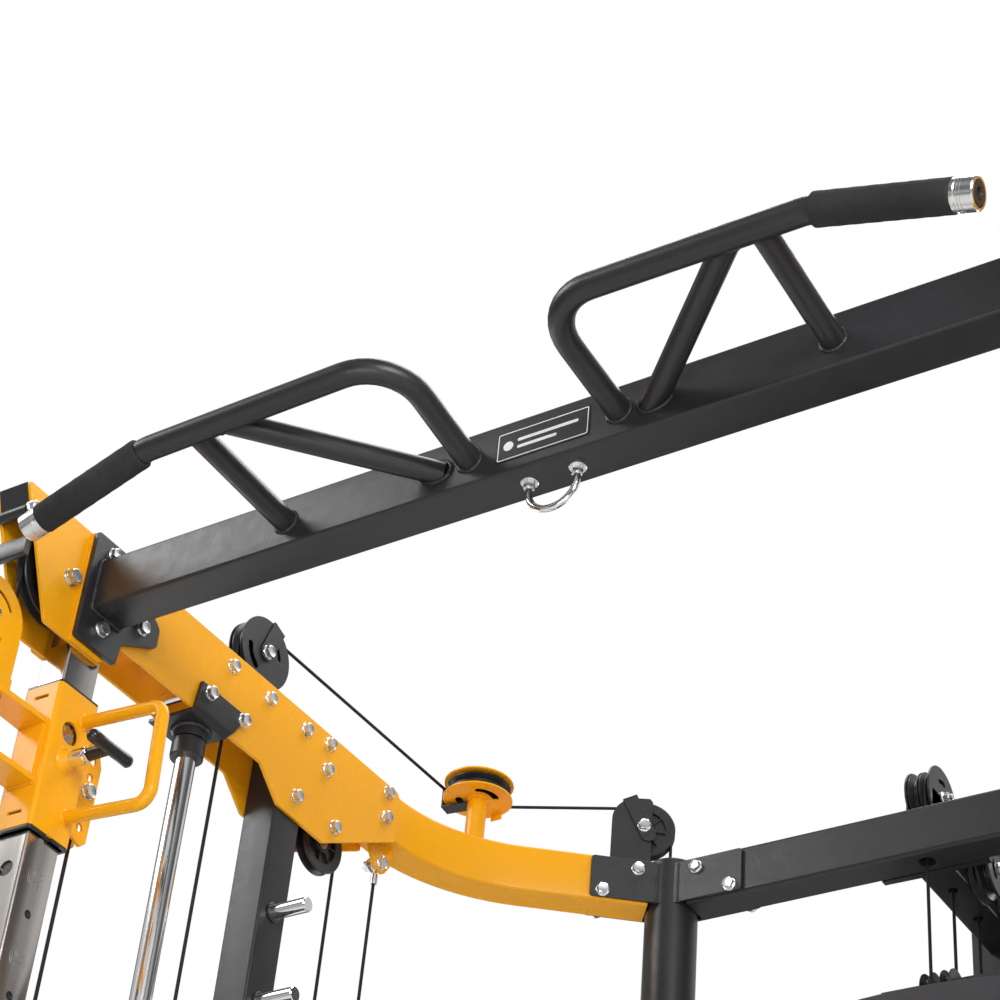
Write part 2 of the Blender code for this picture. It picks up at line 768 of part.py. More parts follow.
def pop_pin(label, side):
    """The spring pin with its cross bar, engaged in the column's top hole."""
    bar_out = 0.642
    cross = [
        (side * bar_out, COLUMN_Y - 0.0325, PIN_TOP),
        (side * bar_out, COLUMN_Y + 0.0325, PIN_TOP),
    ]
    pieces = [
        rod((side * 0.739, COLUMN_Y, PIN_TOP), (side * bar_out, COLUMN_Y, PIN_TOP), PIN_R, 10),
        rod((side * 0.6815, COLUMN_Y, PIN_TOP), (side * bar_out, COLUMN_Y, PIN_TOP), 0.0085, 12),
        rod(*cross, 0.009, 12),
    ]
    pivot = (side * bar_out, COLUMN_Y, PIN_TOP)
    part(f"pop_pin_{label}", "rubber", pieces, pivot=pivot)


def swivel_yoke(label, side):
    """The hollow pivot through both arms, with a pair of guard discs above and below."""
    middle = SWIVEL_MIDDLE
    centre_y = SWIVEL_Y - SWIVEL_R
    axis = (side * TOWER, SWIVEL_Y)
    pieces = [rod((*axis, middle - 0.056), (*axis, middle + 0.056), 0.0122, 14)]
    for up in (-1, 1):
        near = middle + up * (ARM_Z[1] - middle + ARM_T / 2 + 0.0005)
        zs = sorted((near, near + up * 0.018))
        ys = (SWIVEL_Y - 0.014, SWIVEL_Y + 0.014)
        pieces.append(block(side, (TOWER - 0.0165, TOWER + 0.0165), ys, zs))
        centre = (centre_y, middle + up * SWIVEL_PULLEY_UP)
        for face in (-1, 1):
            outs = (TOWER + face * 0.0135, TOWER + face * 0.0165)
            webs = sorted((near, middle + up * (SWIVEL_PULLEY_UP - 0.010)))
            pieces.append(slab(side, *outs, disc(centre, 0.058, 20)))
            pieces.append(block(side, outs, (SWIVEL_Y - 0.020, SWIVEL_Y + 0.0115), webs))
    bore = [rod((*axis, 1.6), (*axis, 2.1), 0.0065, 8)]
    pivot = (side * TOWER, SWIVEL_Y, middle)
    part(f"swivel_yoke_{label}", "yellow", pieces, bore, pivot)


def swivel_pulley(label, side):
    centre = (side * TOWER, SWIVEL_Y - SWIVEL_R, SWIVEL_MIDDLE + SWIVEL_PULLEY_UP)
    pulley(f"swivel_pulley_{label}", centre, (1, 0, 0), SWIVEL_R)


# Guided bar


def slider(label, side):
    """The bearing block on a guide rod that carries the bar."""
    outline = rounded(0.064, 0.118, 0.012, (side * TOWER, -0.386))
    low, high = BAR_Z - SLIDER_H / 2, BAR_Z + SLIDER_H / 2
    outs = (side * (TOWER - 0.05), side * (TOWER + 0.05))
    cuts = [
        rod((side * TOWER, ROD_Y, low - 0.01), (side * TOWER, ROD_Y, high + 0.01), ROD_R + 0.0008, 24),
        rod((outs[0], BAR_Y, BAR_Z), (outs[1], BAR_Y, BAR_Z), BAR_R + 0.0008, 20),
    ]
    pivot = (side * TOWER, BAR_Y, BAR_Z)
    part(f"bar_slider_{label}", "black", [prism(outline, "z", low, high)], cuts, pivot)


def smith_bar():
    """The bar with its loading sleeves, inner collars and latch hooks."""
    pieces = [rod((-BAR_HALF + 0.01, BAR_Y, BAR_Z), (BAR_HALF - 0.01, BAR_Y, BAR_Z), BAR_R, 14)]
    hook = [
        (BAR_Y - 0.022, BAR_Z + 0.010),
        (BAR_Y + 0.012, BAR_Z + 0.026),
        (BAR_Y + 0.150, BAR_Z + 0.026),
        (BAR_Y + 0.190, BAR_Z + 0.012),
        (BAR_Y + 0.204, BAR_Z - 0.020),
        (BAR_Y + 0.186, BAR_Z - 0.020),
        (BAR_Y + 0.174, BAR_Z - 0.002),
        (BAR_Y + 0.140, BAR_Z + 0.004),
        (BAR_Y + 0.022, BAR_Z - 0.022),
        (BAR_Y - 0.014, BAR_Z - 0.022),
    ]
    for side in SIDES.values():
        ends = (side * 0.842, BAR_Y, BAR_Z), (side * BAR_HALF, BAR_Y, BAR_Z)
        collar = (side * 0.828, BAR_Y, BAR_Z), (side * 0.842, BAR_Y, BAR_Z)
        boss = (side * 0.664, BAR_Y, BAR_Z), (side * 0.704, BAR_Y, BAR_Z)
        pieces.append(rod(*ends, SLEEVE_R, 16))
        pieces.append(rod(*collar, 0.036, 18))
        pieces.append(rod(*boss, 0.021, 14))
        pieces.append(slab(side, 0.678, 0.690, hook))
    part("smith_bar", "chrome", pieces, pivot=(0, BAR_Y, BAR_Z))


# Weight stack


def stack_block(low, count, joint):
    """A pile of plates as one solid with a groove at each joint between them."""
    half = (STACK_W / 2, STACK_D / 2)
    rings = []
    for plate in range(count):
        bottom = low + PLATE_PITCH * plate
        top = bottom + PLATE_PITCH
        for inset, z in ((joint, bottom), (0, bottom + joint), (0, top - joint), (joint, top)):
            x, y = half[0] - inset, half[1] - inset
            if rings and plate and z == bottom:
                continue
            corners = [(x, y), (-x, y), (-x, -y), (x, -y)]
            rings.append([Vector((across, STACK_Y + along, z)) for across, along in corners])
    return loft(rings)


def stack_bores(low, high, radius):
    bores = []
    for out in (-STACK_ROD, STACK_ROD):
        bores.append(rod((out, STACK_Y, low - 0.01), (out, STACK_Y, high + 0.01), radius, 14))
    return bores


def weight_stack():
    """Resting plates, the lifted plates with their stem, the pin, and the two guide rods."""
    low = STACK_FLOOR
    joint_z = low + PLATE_PITCH * RESTING
    cuts = stack_bores(low, joint_z, 0.0135)
    cuts.append(rod((0, STACK_Y, low - 0.01), (0, STACK_Y, joint_z + 0.01), 0.0125, 12))
    part("resting_weights", "iron", [stack_block(low, RESTING, 0.002)], cuts)

    start = joint_z + GAP
    top = start + PLATE_PITCH * LIFTED
    pin_z = start + PLATE_PITCH / 2
    hanger = STACK_PULLEY_Z
    pieces = [
        stack_block(start, LIFTED, 0.002),
        rod((0, STACK_Y, 0.14), (0, STACK_Y, top + 0.06), 0.011, 12),
        box((-0.0125, STACK_Y - 0.011, top + 0.05), (0.0125, STACK_Y + 0.011, hanger - 0.060)),
        box((-0.0165, STACK_Y - 0.014, hanger - 0.075), (-0.0135, STACK_Y + 0.014, hanger + 0.020)),
        box((0.0135, STACK_Y - 0.014, hanger - 0.075), (0.0165, STACK_Y + 0.014, hanger + 0.020)),
        box((-0.0165, STACK_Y - 0.014, hanger - 0.075), (0.0165, STACK_Y + 0.014, hanger - 0.060)),
    ]
    cuts = stack_bores(start, top, 0.0135)
    cuts.append(rod((0, STACK_Y - 0.006, pin_z), (0, STACK_Y + 0.2, pin_z), 0.0050, 8))
    part("lifted_weights", "iron", pieces, cuts, (0, STACK_Y, start))

    knob = STACK_Y + STACK_D / 2 + 0.012
    pin = [
        rod((0, STACK_Y - 0.005, pin_z), (0, knob + 0.01, pin_z), 0.0044, 8),
        rod((0, knob - 0.006, pin_z), (0, knob + 0.022, pin_z), 0.016, 14),
    ]
    part("selector_pin", "rubber", pin, pivot=(0, STACK_Y, pin_z))

    for label, side in SIDES.items():
        x = side * STACK_ROD
        rod_solid = rod((x, STACK_Y, 0.0905), (x, STACK_Y, STACK_FRAME_LOW + 0.0095), STACK_ROD_R, 14)
        part(f"stack_rod_{label}", "chrome", [rod_solid])


def stack_shroud():
    """The dark sheet in front of the stack, folded back at the sides, with an arched top."""
    y = 0.400
    sheet = 0.002
    half = 0.230
    low, high, rise = RAIL_TOP + GAP, 1.853, 0.024
    arch = []
    for step in range(13):
        x = half - 2 * half * step / 12
        arch.append((x, high + rise * (1 - (x / half) ** 2)))
    pieces = [prism([(-half, low), (half, low)] + arch, "y", y, y + sheet)]
    for side in SIDES.values():
        pieces.append(block(side, (half - sheet, half), (y, y + 0.030), (low, high - 0.001)))
    pieces.append(box((-half, y, low), (half, REAR_Y - 0.012, low + sheet)))
    part("stack_shroud", "panel", pieces)


# Cables

X_AXIS = Vector((1, 0, 0))
Y_AXIS = Vector((0, 1, 0))
Z_AXIS = Vector((0, 0, 1))


def upper_tangent(first, first_r, second, second_r):
    """The angle, from +Y towards +Z, at which a line over both pulleys leaves them."""
    gap = second - first
    heading = math.atan2(gap.z, gap.y)
    lean = math.asin((second_r - first_r) / gap.length)
    return math.degrees(heading - math.pi / 2 - lean)


def run_height(y):
    """The height of the cable between the plate pulley and the head pulley."""
    angle = math.radians(upper_tangent(PLATE_PULLEY, PLATE_R, HEAD_PULLEY, HEAD_R))
    start = PLATE_PULLEY + PLATE_R * Vector((0, math.cos(angle), math.sin(angle)))
    end = HEAD_PULLEY + HEAD_R * Vector((0, math.cos(angle), math.sin(angle)))
    share = (y - start.y) / (end.y - start.y)
    return start.z + share * (end.z - start.z)


def straight(start, end, count):
    """Points from start to end, without the end."""
    return [start.lerp(end, i / count) for i in range(count)]


def front_cable(label, side):
    """From the lug round the floating pulley, over plate and head pulleys, down the front."""
    across = X_AXIS * side * TOWER
    rear_y = LUG_Y
    near_y = PLATE_PULLEY.y + PLATE_R
    float_r = (rear_y - near_y) / 2
    float_centre = across + Vector((0, near_y + float_r, FLOAT_Z))
    leave = upper_tangent(PLATE_PULLEY, PLATE_R, HEAD_PULLEY, HEAD_R) % 360
    route = straight(across + Vector((0, rear_y, 2.055)), float_centre + Y_AXIS * float_r, 4)
    route += arc(float_centre, float_r, 0, -180, Y_AXIS, Z_AXIS, 10)
    route += straight(
        across + Vector((0, near_y, FLOAT_Z + 0.05)), across + PLATE_PULLEY + Y_AXIS * PLATE_R, 4
    )
    route += arc(across + PLATE_PULLEY, PLATE_R, 0, leave, Y_AXIS, Z_AXIS, 8)
    route += arc(across + HEAD_PULLEY, HEAD_R, leave, 180, Y_AXIS, Z_AXIS, 8)
    bottom = plan_point(side, TOWER, SWIVEL_Y, CABLE_END)
    route += straight(across + Vector((0, SWIVEL_Y, HEAD_PULLEY.z - 0.03)), bottom, 4)
    route.append(bottom)
    cable(f"front_cable_{label}", route)


def upper_cable(label, side):
    """From the base over the top pulley, round the flat pulley and down the rear column."""
    top = X_AXIS * side * TOP_PULLEY_OUT + TOP_PULLEY
    bottom = plan_point(side, TOP_PULLEY_OUT, UPPER_CABLE_Y, CABLE_END)
    route = straight(bottom, top - Y_AXIS * TOP_R, 4)
    slope = math.degrees(math.atan2(FLAT_PULLEY_Z - TOP_PULLEY.z - TOP_R, 0.54))
    route += arc(top, TOP_R, 180, 90 + slope, Y_AXIS, Z_AXIS, 8)

    place, ahead = column_pulley_place(side)
    flat = flat_pulley_place(side)
    arrive = touch_angle(side, route[-1])
    depart = touch_angle(side, place)
    route += arc(flat, FLAT_R, arrive, depart, X_AXIS * side, Y_AXIS, 5)
    dip = math.degrees(math.atan2(flat.z - place.z - COLUMN_R, (place - route[-1]).length))
    route += arc(place, COLUMN_R, 90 + dip, 0, ahead, Z_AXIS, 8)
    down = place + ahead * COLUMN_R
    route += straight(down - Z_AXIS * 0.05, Vector((down.x, down.y, 0.20)), 4)
    route.append(Vector((down.x, down.y, 0.16)))
    cable(f"upper_cable_{label}", route)


def carriage_cable(label, side):
    """From the carriage's rear bracket straight down into the base rail."""
    top = plan_point(side, TOWER, CARRIAGE_CABLE_Y, CARRIAGE_CABLE_TOP)
    bottom = plan_point(side, TOWER, CARRIAGE_CABLE_Y, CABLE_END)
    cable(f"carriage_cable_{label}", straight(top, bottom, 4) + [bottom])


def stack_cables():
    """The loop that lifts the stack, and the cable over the rear top tube."""
    front = Vector((0, STACK_Y - STACK_PULLEY_R, 2.150))
    rear = Vector((0, STACK_Y + STACK_PULLEY_R, 2.150))
    centre = Vector((0, STACK_Y, STACK_PULLEY_Z))
    loop = straight(front, centre - Y_AXIS * STACK_PULLEY_R, 4)
    loop += arc(centre, STACK_PULLEY_R, 180, 360, Y_AXIS, Z_AXIS, 10)
    loop += straight(centre + Y_AXIS * STACK_PULLEY_R + Z_AXIS * 0.05, rear, 4)
    loop.append(rear)
    cable("stack_cable", loop)

    hole_y = REAR_Y + 0.002
    run = 0.040
    wheel = Vector((0, hole_y + run, 2.250))
    route = straight(Vector((0, hole_y, CABLE_END)), wheel - Y_AXIS * run, 4)
    route += arc(wheel, run, 180, 0, Y_AXIS, Z_AXIS, 10)
    route.append(wheel + Y_AXIS * run - Z_AXIS * 0.048)
    cable("centre_cable", route)


def tower_pulleys(label, side):
    across = X_AXIS * side * TOWER
    pulley(f"head_pulley_{label}", across + HEAD_PULLEY, X_AXIS, HEAD_R, 18)
    pulley(f"plate_pulley_{label}", across + PLATE_PULLEY, X_AXIS, PLATE_R)
    top = X_AXIS * side * TOP_PULLEY_OUT + TOP_PULLEY
    pulley(f"top_pulley_{label}", top, X_AXIS, TOP_R)
    pulley(f"flat_pulley_{label}", flat_pulley_place(side), Z_AXIS, FLAT_R)
    place, ahead = column_pulley_place(side)
    pulley(f"column_pulley_{label}", place, (ahead.y, -ahead.x, 0), COLUMN_R)


def build():
    for old in list(bpy.data.objects):
        bpy.data.objects.remove(old, do_unlink=True)
    rear_base()
    rear_top_tube()
    stack_top_beam()
    pull_up_beam()
    eye_bolt()
    smith_bar()
    weight_stack()
    stack_shroud()
    stack_cables()
    for label, side in SIDES.items():
        base_rail(label, side)
        front_column(label, side)
        smith_upright(label, side)
        head_plates(label, side)
        curved_top_tube(label, side)
        rear_column(label, side)
        foam_grip(label, side)
        guide_rod(label, side)
        guide_rod_bracket(label, side)
        carriage(label, side)
        pop_pin(label, side)
        swivel_yoke(label, side)
        swivel_pulley(label, side)
        slider(label, side)
        tower_pulleys(label, side)
        front_cable(label, side)
        upper_cable(label, side)
        carriage_cable(label, side)


build()
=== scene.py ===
"""Visual model of a functional trainer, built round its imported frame.

Metres, +Z up. The user stands in front, at -Y, and X = 0 is the middle plane. The left tower is
at -X. Pulleys, rods, plates and the stack are placed from the frame's own nodes, and side is -1
for the left and 1 for the right. A shape is a pair: its points and its faces.
"""

import json
import math

import bmesh
import bpy
from mathutils import Matrix, Vector


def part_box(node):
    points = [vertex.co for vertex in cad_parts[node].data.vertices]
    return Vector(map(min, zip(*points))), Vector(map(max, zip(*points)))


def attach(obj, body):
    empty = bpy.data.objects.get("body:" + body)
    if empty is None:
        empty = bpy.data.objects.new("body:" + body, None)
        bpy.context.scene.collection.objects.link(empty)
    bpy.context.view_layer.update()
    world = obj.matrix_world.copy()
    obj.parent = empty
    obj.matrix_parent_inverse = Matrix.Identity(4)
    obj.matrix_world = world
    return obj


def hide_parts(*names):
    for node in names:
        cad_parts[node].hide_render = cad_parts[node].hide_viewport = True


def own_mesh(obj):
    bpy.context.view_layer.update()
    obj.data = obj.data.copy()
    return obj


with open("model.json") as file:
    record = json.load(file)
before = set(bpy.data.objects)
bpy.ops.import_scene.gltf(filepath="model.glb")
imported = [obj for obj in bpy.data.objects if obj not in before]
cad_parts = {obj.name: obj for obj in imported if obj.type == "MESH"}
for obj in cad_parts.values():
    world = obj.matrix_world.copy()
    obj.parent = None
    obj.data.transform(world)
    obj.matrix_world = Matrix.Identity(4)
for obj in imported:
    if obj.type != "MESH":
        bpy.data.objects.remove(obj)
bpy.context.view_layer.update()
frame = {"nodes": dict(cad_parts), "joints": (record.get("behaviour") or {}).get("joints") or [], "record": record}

SIDES = {"left": -1, "right": 1}
X = Vector((1, 0, 0))
Y = Vector((0, 1, 0))
Z = Vector((0, 0, 1))


def middle(node):
    """The centre of a CAD node's box."""
    low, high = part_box(node)
    return (low + high) / 2


# Places that the frame gives.
TOWER = middle("guide_rod_right").x
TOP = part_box("inner_head_plate_right")[1].z
PLATE_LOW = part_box("inner_head_plate_right")[0].z
PLATE_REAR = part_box("inner_head_plate_right")[1].y
INNER_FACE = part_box("inner_head_plate_right")[0].x
OUTER_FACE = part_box("outer_head_plate_right")[1].x
PLATE = 0.005
SLOT = OUTER_FACE - INNER_FACE - 2 * PLATE
COLUMN_Y = middle("front_column_right").y
COLUMN_HALF = (0.0247, 0.030)
LINER_GAP = 0.0008
COLUMN_LOW, COLUMN_TOP = (corner.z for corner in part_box("front_column_right"))
ROD_Y = middle("guide_rod_right").y
BEAM_Y = -0.621
BEAM_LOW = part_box("eye_bolt")[1].z + 0.0003
TUBE_W = 0.060
TUBE_H = 0.080
REAR = middle("rear_top_tube").y
REAR_OUT = 0.440
REAR_R = 0.0425
PIN_TOP = middle("pop_pin_right").z
LUG_BOLT = (0.086, 2.085)
PIN_PITCH = 0.110
PIN_HOLES = 13
PLATE_PITCH = 0.024
CABLE_R = 0.0026
FLOAT_Z = 0.600
RIM = 0.0065


def run_of(kind):
    """The radius at which the cable runs on this kind of pulley."""
    low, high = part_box(f"{kind}_pulley_right")
    return max(high - low) / 2 - RIM


RUNS = {kind: run_of(kind) for kind in ("head", "plate", "top", "flat", "column", "swivel")}


def body_of(node):
    """The body that this node belongs to."""
    groups = frame["record"]["behaviour"]["bodies"]
    return next(name for name, nodes in groups.items() if node in nodes)


# Shapes


def joined(shapes):
    """One shape that holds them all."""
    points, faces = [], []
    for more_points, more_faces in shapes:
        start = len(points)
        points += [Vector(p) for p in more_points]
        faces += [[start + i for i in face] for face in more_faces]
    return points, faces


def loft(rings, closed_path=False):
    """A skin over rings of equally many points, with an end face on the first and last ring."""
    count = len(rings[0])
    points = [Vector(p) for ring in rings for p in ring]
    faces = []
    for row in range(len(rings) if closed_path else len(rings) - 1):
        after = (row + 1) % len(rings)
        for i in range(count):
            j = (i + 1) % count
            faces.append([row * count + i, row * count + j, after * count + j, after * count + i])
    if not closed_path:
        faces.append(list(range(count)))
        faces.append([(len(rings) - 1) * count + i for i in range(count)])
    return points, faces


def flat(outline, low, high, right=Y, up=Z, origin=(0, 0, 0)):
    """An outline in the plane of right and up, pushed square to it from low to high."""
    origin = Vector(origin)
    out = right.cross(up)
    rings = []
    for level in (low, high):
        rings.append([origin + right * u + up * v + out * level for u, v in outline])
    return loft(rings)


def level_plate(outline, low, high):
    """An outline in X and Y between two heights."""
    return flat(outline, low, high, X, Y)


def cross_plate(outline, low, high):
    """An outline in X and Z between two places along Y."""
    return flat(outline, -high, -low, X, Z)


def brick(low, high):
    """A box between two opposite corners."""
    corners = [(low[0], low[1]), (high[0], low[1]), (high[0], high[1]), (low[0], high[1])]
    return level_plate(corners, low[2], high[2])


def rounded(width, height, radius, centre=(0, 0), steps=5):
    """The outline of a rectangle with round corners."""
    points = []
    for corner in range(4):
        sx = 1 if corner in (0, 3) else -1
        sy = 1 if corner in (0, 1) else -1
        for step in range(steps + 1):
            angle = math.pi / 2 * (corner + step / steps)
            x = centre[0] + sx * (width / 2 - radius) + radius * math.cos(angle)
            y = centre[1] + sy * (height / 2 - radius) + radius * math.sin(angle)
            points.append((x, y))
    return points


def circle(centre, radius, steps=48):
    """Points round a circle, as pairs."""
    turns = [2 * math.pi * i / steps for i in range(steps)]
    return [(centre[0] + radius * math.cos(t), centre[1] + radius * math.sin(t)) for t in turns]


def kidney(centre, inner, outer, start, end, steps=10):
    """The outline of an arched slot with round ends, its angles in degrees."""
    half = (outer - inner) / 2
    mean = (outer + inner) / 2

    def at(radius, angle):
        turn = math.radians(angle)
        return Vector((centre[0] + radius * math.cos(turn), centre[1] + radius * math.sin(turn)))

    points = [at(outer, start + (end - start) * i / steps) for i in range(steps + 1)]
    for angle, sign in ((end, 1), (start, -1)):
        for step in range(1, 6):
            turn = math.radians(angle + (0 if sign > 0 else 180) + 180 * step / 6)
            points.append(at(mean, angle) + half * Vector((math.cos(turn), math.sin(turn))))
        if sign > 0:
            points += [at(inner, end - (end - start) * i / steps) for i in range(steps + 1)]
    return [tuple(p) for p in points]


def softened(outline, radius, steps=4):
    """The outline with an arc of this radius, or less on a short side, at each corner."""
    corners = [Vector((*p, 0)) for p in outline]
    points = []
    for i, corner in enumerate(corners):
        before = corners[i - 1] - corner
        after = corners[(i + 1) % len(corners)] - corner
        half = before.angle(after) / 2
        reach = min(radius / math.tan(half), before.length * 0.45, after.length * 0.45)
        size = reach * math.tan(half)
        centre = corner + (before.normalized() + after.normalized()).normalized() * size / math.sin(half)
        start = corner + before.normalized() * reach - centre
        end = corner + after.normalized() * reach - centre
        for step in range(steps + 1):
            spoke = start.slerp(end, step / steps, start).normalized() * size
            points.append(tuple((centre + spoke)[:2]))
    return points


def directions_of(path):
    """The heading at each point of a path: at a bend, the mean of the two that meet there."""
    steps = [(b - a).normalized() for a, b in zip(path, path[1:])]
    ends = [steps[0]] + [(a + b).normalized() for a, b in zip(steps, steps[1:])] + [steps[-1]]
    return ends


def tube(path, radius, steps=24, closed_path=False):
    """A round bar along a path; radius is a number or one number for each point."""
    path = [Vector(p) for p in path]
    if closed_path:
        ahead = [(path[(i + 1) % len(path)] - path[i - 1]).normalized() for i in range(len(path))]
    else:
        ahead = directions_of(path)
    radii = radius if isinstance(radius, list) else [radius] * len(path)
    side = ahead[0].orthogonal().normalized()
    rings = []
    for point, forward, size in zip(path, ahead, radii):
        side = (side - forward * side.dot(forward)).normalized()
        other = forward.cross(side)
        turns = [2 * math.pi * k / steps for k in range(steps)]
        rings.append([point + size * (side * math.cos(t) + other * math.sin(t)) for t in turns])
    return loft(rings, closed_path)


def rod(start, end, radius, steps=32, chamfer=0.0):
    """A round bar, with both ends chamfered if asked."""
    start, end = Vector(start), Vector(end)
    if not chamfer:
        return tube([start, end], radius, steps)
    ahead = (end - start).normalized() * chamfer
    return tube([start, start + ahead, end - ahead, end],
                [radius - chamfer, radius, radius, radius - chamfer], steps)


def turned(profile, centre, axis, steps=48, hollow=False):
    """A profile of (radius, along) points turned about an axis; hollow closes it on itself."""
    axis = Vector(axis).normalized()
    side = axis.orthogonal().normalized()
    other = axis.cross(side)
    centre = Vector(centre)
    rings = []
    for radius, along in profile:
        turns = [2 * math.pi * k / steps for k in range(steps)]
        ring = [centre + axis * along + radius * (side * math.cos(t) + other * math.sin(t)) for t in turns]
        rings.append(ring)
    return loft(rings, hollow)


def filleted(points, radius, steps=10):
    """The points of a path with an arc of this radius at each inner corner."""
    points = [Vector(p) for p in points]
    path = [points[0]]
    for before, corner, after in zip(points, points[1:], points[2:]):
        back = (before - corner).normalized()
        ahead = (after - corner).normalized()
        half = back.angle(ahead) / 2
        middle_point = corner + (back + ahead).normalized() * radius / math.sin(half)
        start = corner + back * radius / math.tan(half) - middle_point
        axis = start.cross(corner + ahead * radius / math.tan(half) - middle_point).normalized()
        for step in range(steps + 1):
            turn = Matrix.Rotation((math.pi - 2 * half) * step / steps, 3, axis)
            path.append(middle_point + turn @ start)
    path.append(points[-1])
    return path


def arc(centre, radius, start, end, across, up, steps):
    """Points on a circle from angle start to end, in degrees, from across towards up."""
    points = []
    for step in range(steps + 1):
        turn = math.radians(start + (end - start) * step / steps)
        points.append(centre + radius * (across * math.cos(turn) + up * math.sin(turn)))
    return points


def swept(path, outline):
    """A level path swept by an upright outline of (across, height) points."""
    rings = []
    for point, ahead in zip(path, directions_of(path)):
        across = Vector((ahead.y, -ahead.x, 0))
        rings.append([point + across * u + Z * v for u, v in outline])
    return loft(rings)


def bead(path, radius, closed_path=True):
    """A weld bead with the ripples of the torch."""
    radii = [radius * (1 + 0.16 * math.sin(2.1 * i) + 0.08 * math.sin(0.7 * i + 1))
             for i in range(len(path))]
    return tube(path, radii, 10, closed_path)


def weld_round(start, ahead, radius, plane_point, normal, size=0.0032, count=56):
    """The bead where a round bar that runs along ahead meets a plane."""
    ahead = Vector(ahead).normalized()
    side = ahead.orthogonal().normalized()
    other = ahead.cross(side)
    path = []
    for k in range(count):
        turn = 2 * math.pi * k / count
        point = Vector(start) + radius * (side * math.cos(turn) + other * math.sin(turn))
        reach = (Vector(plane_point) - point).dot(normal) / ahead.dot(normal)
        path.append(point + ahead * reach)
    return bead(path, size)


def helper(shape):
    """A loose object that holds a shape, its faces turned out."""
    mesh = bpy.data.meshes.new("helper")
    mesh.from_pydata(shape[0], [], shape[1])
    data = bmesh.new()
    data.from_mesh(mesh)
    bmesh.ops.recalc_face_normals(data, faces=data.faces[:])
    data.to_mesh(mesh)
    data.free()
    made = bpy.data.objects.new("helper", mesh)
    bpy.context.scene.collection.objects.link(made)
    return made


def drilled(shape, cutters):
    """The shape less the cutters."""
    body = helper(shape)
    tools = [helper(cutter) for cutter in cutters]
    for tool in tools:
        modifier = body.modifiers.new("cut", "BOOLEAN")
        modifier.object = tool
        modifier.operation = "DIFFERENCE"
    bpy.context.view_layer.update()
    graph = bpy.context.evaluated_depsgraph_get()
    mesh = bpy.data.meshes.new_from_object(body.evaluated_get(graph))
    result = [v.co.copy() for v in mesh.vertices], [list(p.vertices) for p in mesh.polygons]
    for old in [body] + tools:
        bpy.data.objects.remove(old, do_unlink=True)
    return result


def lettering(text, size, place, right, up, depth):
    """Text in outline, its lines as thick as twice the depth, centred on place."""
    curve = bpy.data.curves.new("text", "FONT")
    curve.body = text
    curve.size = size
    curve.fill_mode = "NONE"
    curve.bevel_depth = depth
    curve.bevel_resolution = 1
    curve.align_x = "CENTER"
    curve.align_y = "CENTER"
    loose = bpy.data.objects.new("text", curve)
    bpy.context.scene.collection.objects.link(loose)
    bpy.context.view_layer.update()
    mesh = bpy.data.meshes.new_from_object(loose.evaluated_get(bpy.context.evaluated_depsgraph_get()))
    turn = Matrix((right, up, right.cross(up))).transposed()
    points = [Vector(place) + turn @ v.co for v in mesh.vertices]
    faces = [list(p.vertices) for p in mesh.polygons]
    bpy.data.objects.remove(loose, do_unlink=True)
    return points, faces


# Fasteners


def hexagon(place, out, across, height, turn=0.0):
    """A chamfered hexagon head or nut on place, pointing out."""
    out = Vector(out).normalized()
    side = out.orthogonal().normalized()
    side.rotate(Matrix.Rotation(turn, 3, out))
    other = out.cross(side)
    count = 36
    base, edge, face, dish = [], [], [], []
    flat_r = across / 2
    for k in range(count):
        angle = 2 * math.pi * k / count
        spoke = side * math.cos(angle) + other * math.sin(angle)
        radius = flat_r / math.cos((angle % (math.pi / 3)) - math.pi / 6)
        base.append(place + spoke * radius)
        edge.append(place + spoke * radius + out * (height - (radius - flat_r * 0.95) * 0.6))
        face.append(place + spoke * flat_r * 0.93 + out * height)
        dish.append(place + spoke * flat_r * 0.6 + out * (height - 0.0005))
    return loft([base, edge, face, dish])


def washer(place, out, radius=0.0112, thick=0.0022, bore=0.0045):
    """A ring with a bevelled outer edge, its far face towards out."""
    profile = [
        (bore, 0),
        (radius, 0),
        (radius, thick * 0.7),
        (radius - thick * 0.3, thick),
        (bore, thick),
    ]
    return turned(profile, place, out, 36, hollow=True)


def bolt(place, out, across=0.0172, turn=0.4, big=1.0, spring=False):
    """A hexagon bolt with its flat washer and, if asked, a spring washer under the head."""
    place, out = Vector(place), Vector(out).normalized()
    shapes = [washer(place, out, 0.0110 * big, 0.0022)]
    base = place + out * 0.0022
    if spring:
        shapes.append(washer(base, out, 0.0098 * big, 0.0026))
        base += out * 0.0026
    shapes.append(hexagon(base, out, across * big, 0.0070 * big, turn))
    return joined(shapes)


def nut(place, out, across=0.0165, turn=0.2, stub=0.004):
    """A lock nut with its washer and the end of the thread."""
    place, out = Vector(place), Vector(out).normalized()
    flat_washer = washer(place, out, 0.0112, 0.0022)
    body = hexagon(place + out * 0.0022, out, across, 0.0085, turn)
    end = place + out * (0.0107 + stub)
    thread = rod(place, end, 0.0048, 20, 0.0008)
    return joined([flat_washer, body, thread])


# Materials


def noise(tree, scale, detail=2.0, stretch=(1, 1, 1)):
    """The value of a noise in the object's own metres."""
    coordinates = tree.nodes.new("ShaderNodeTexCoord")
    mapping = tree.nodes.new("ShaderNodeMapping")
    mapping.inputs["Scale"].default_value = stretch
    texture = tree.nodes.new("ShaderNodeTexNoise")
    texture.inputs["Scale"].default_value = scale
    texture.inputs["Detail"].default_value = detail
    tree.links.new(coordinates.outputs["Object"], mapping.inputs["Vector"])
    tree.links.new(mapping.outputs["Vector"], texture.inputs["Vector"])
    return texture.outputs["Fac"]


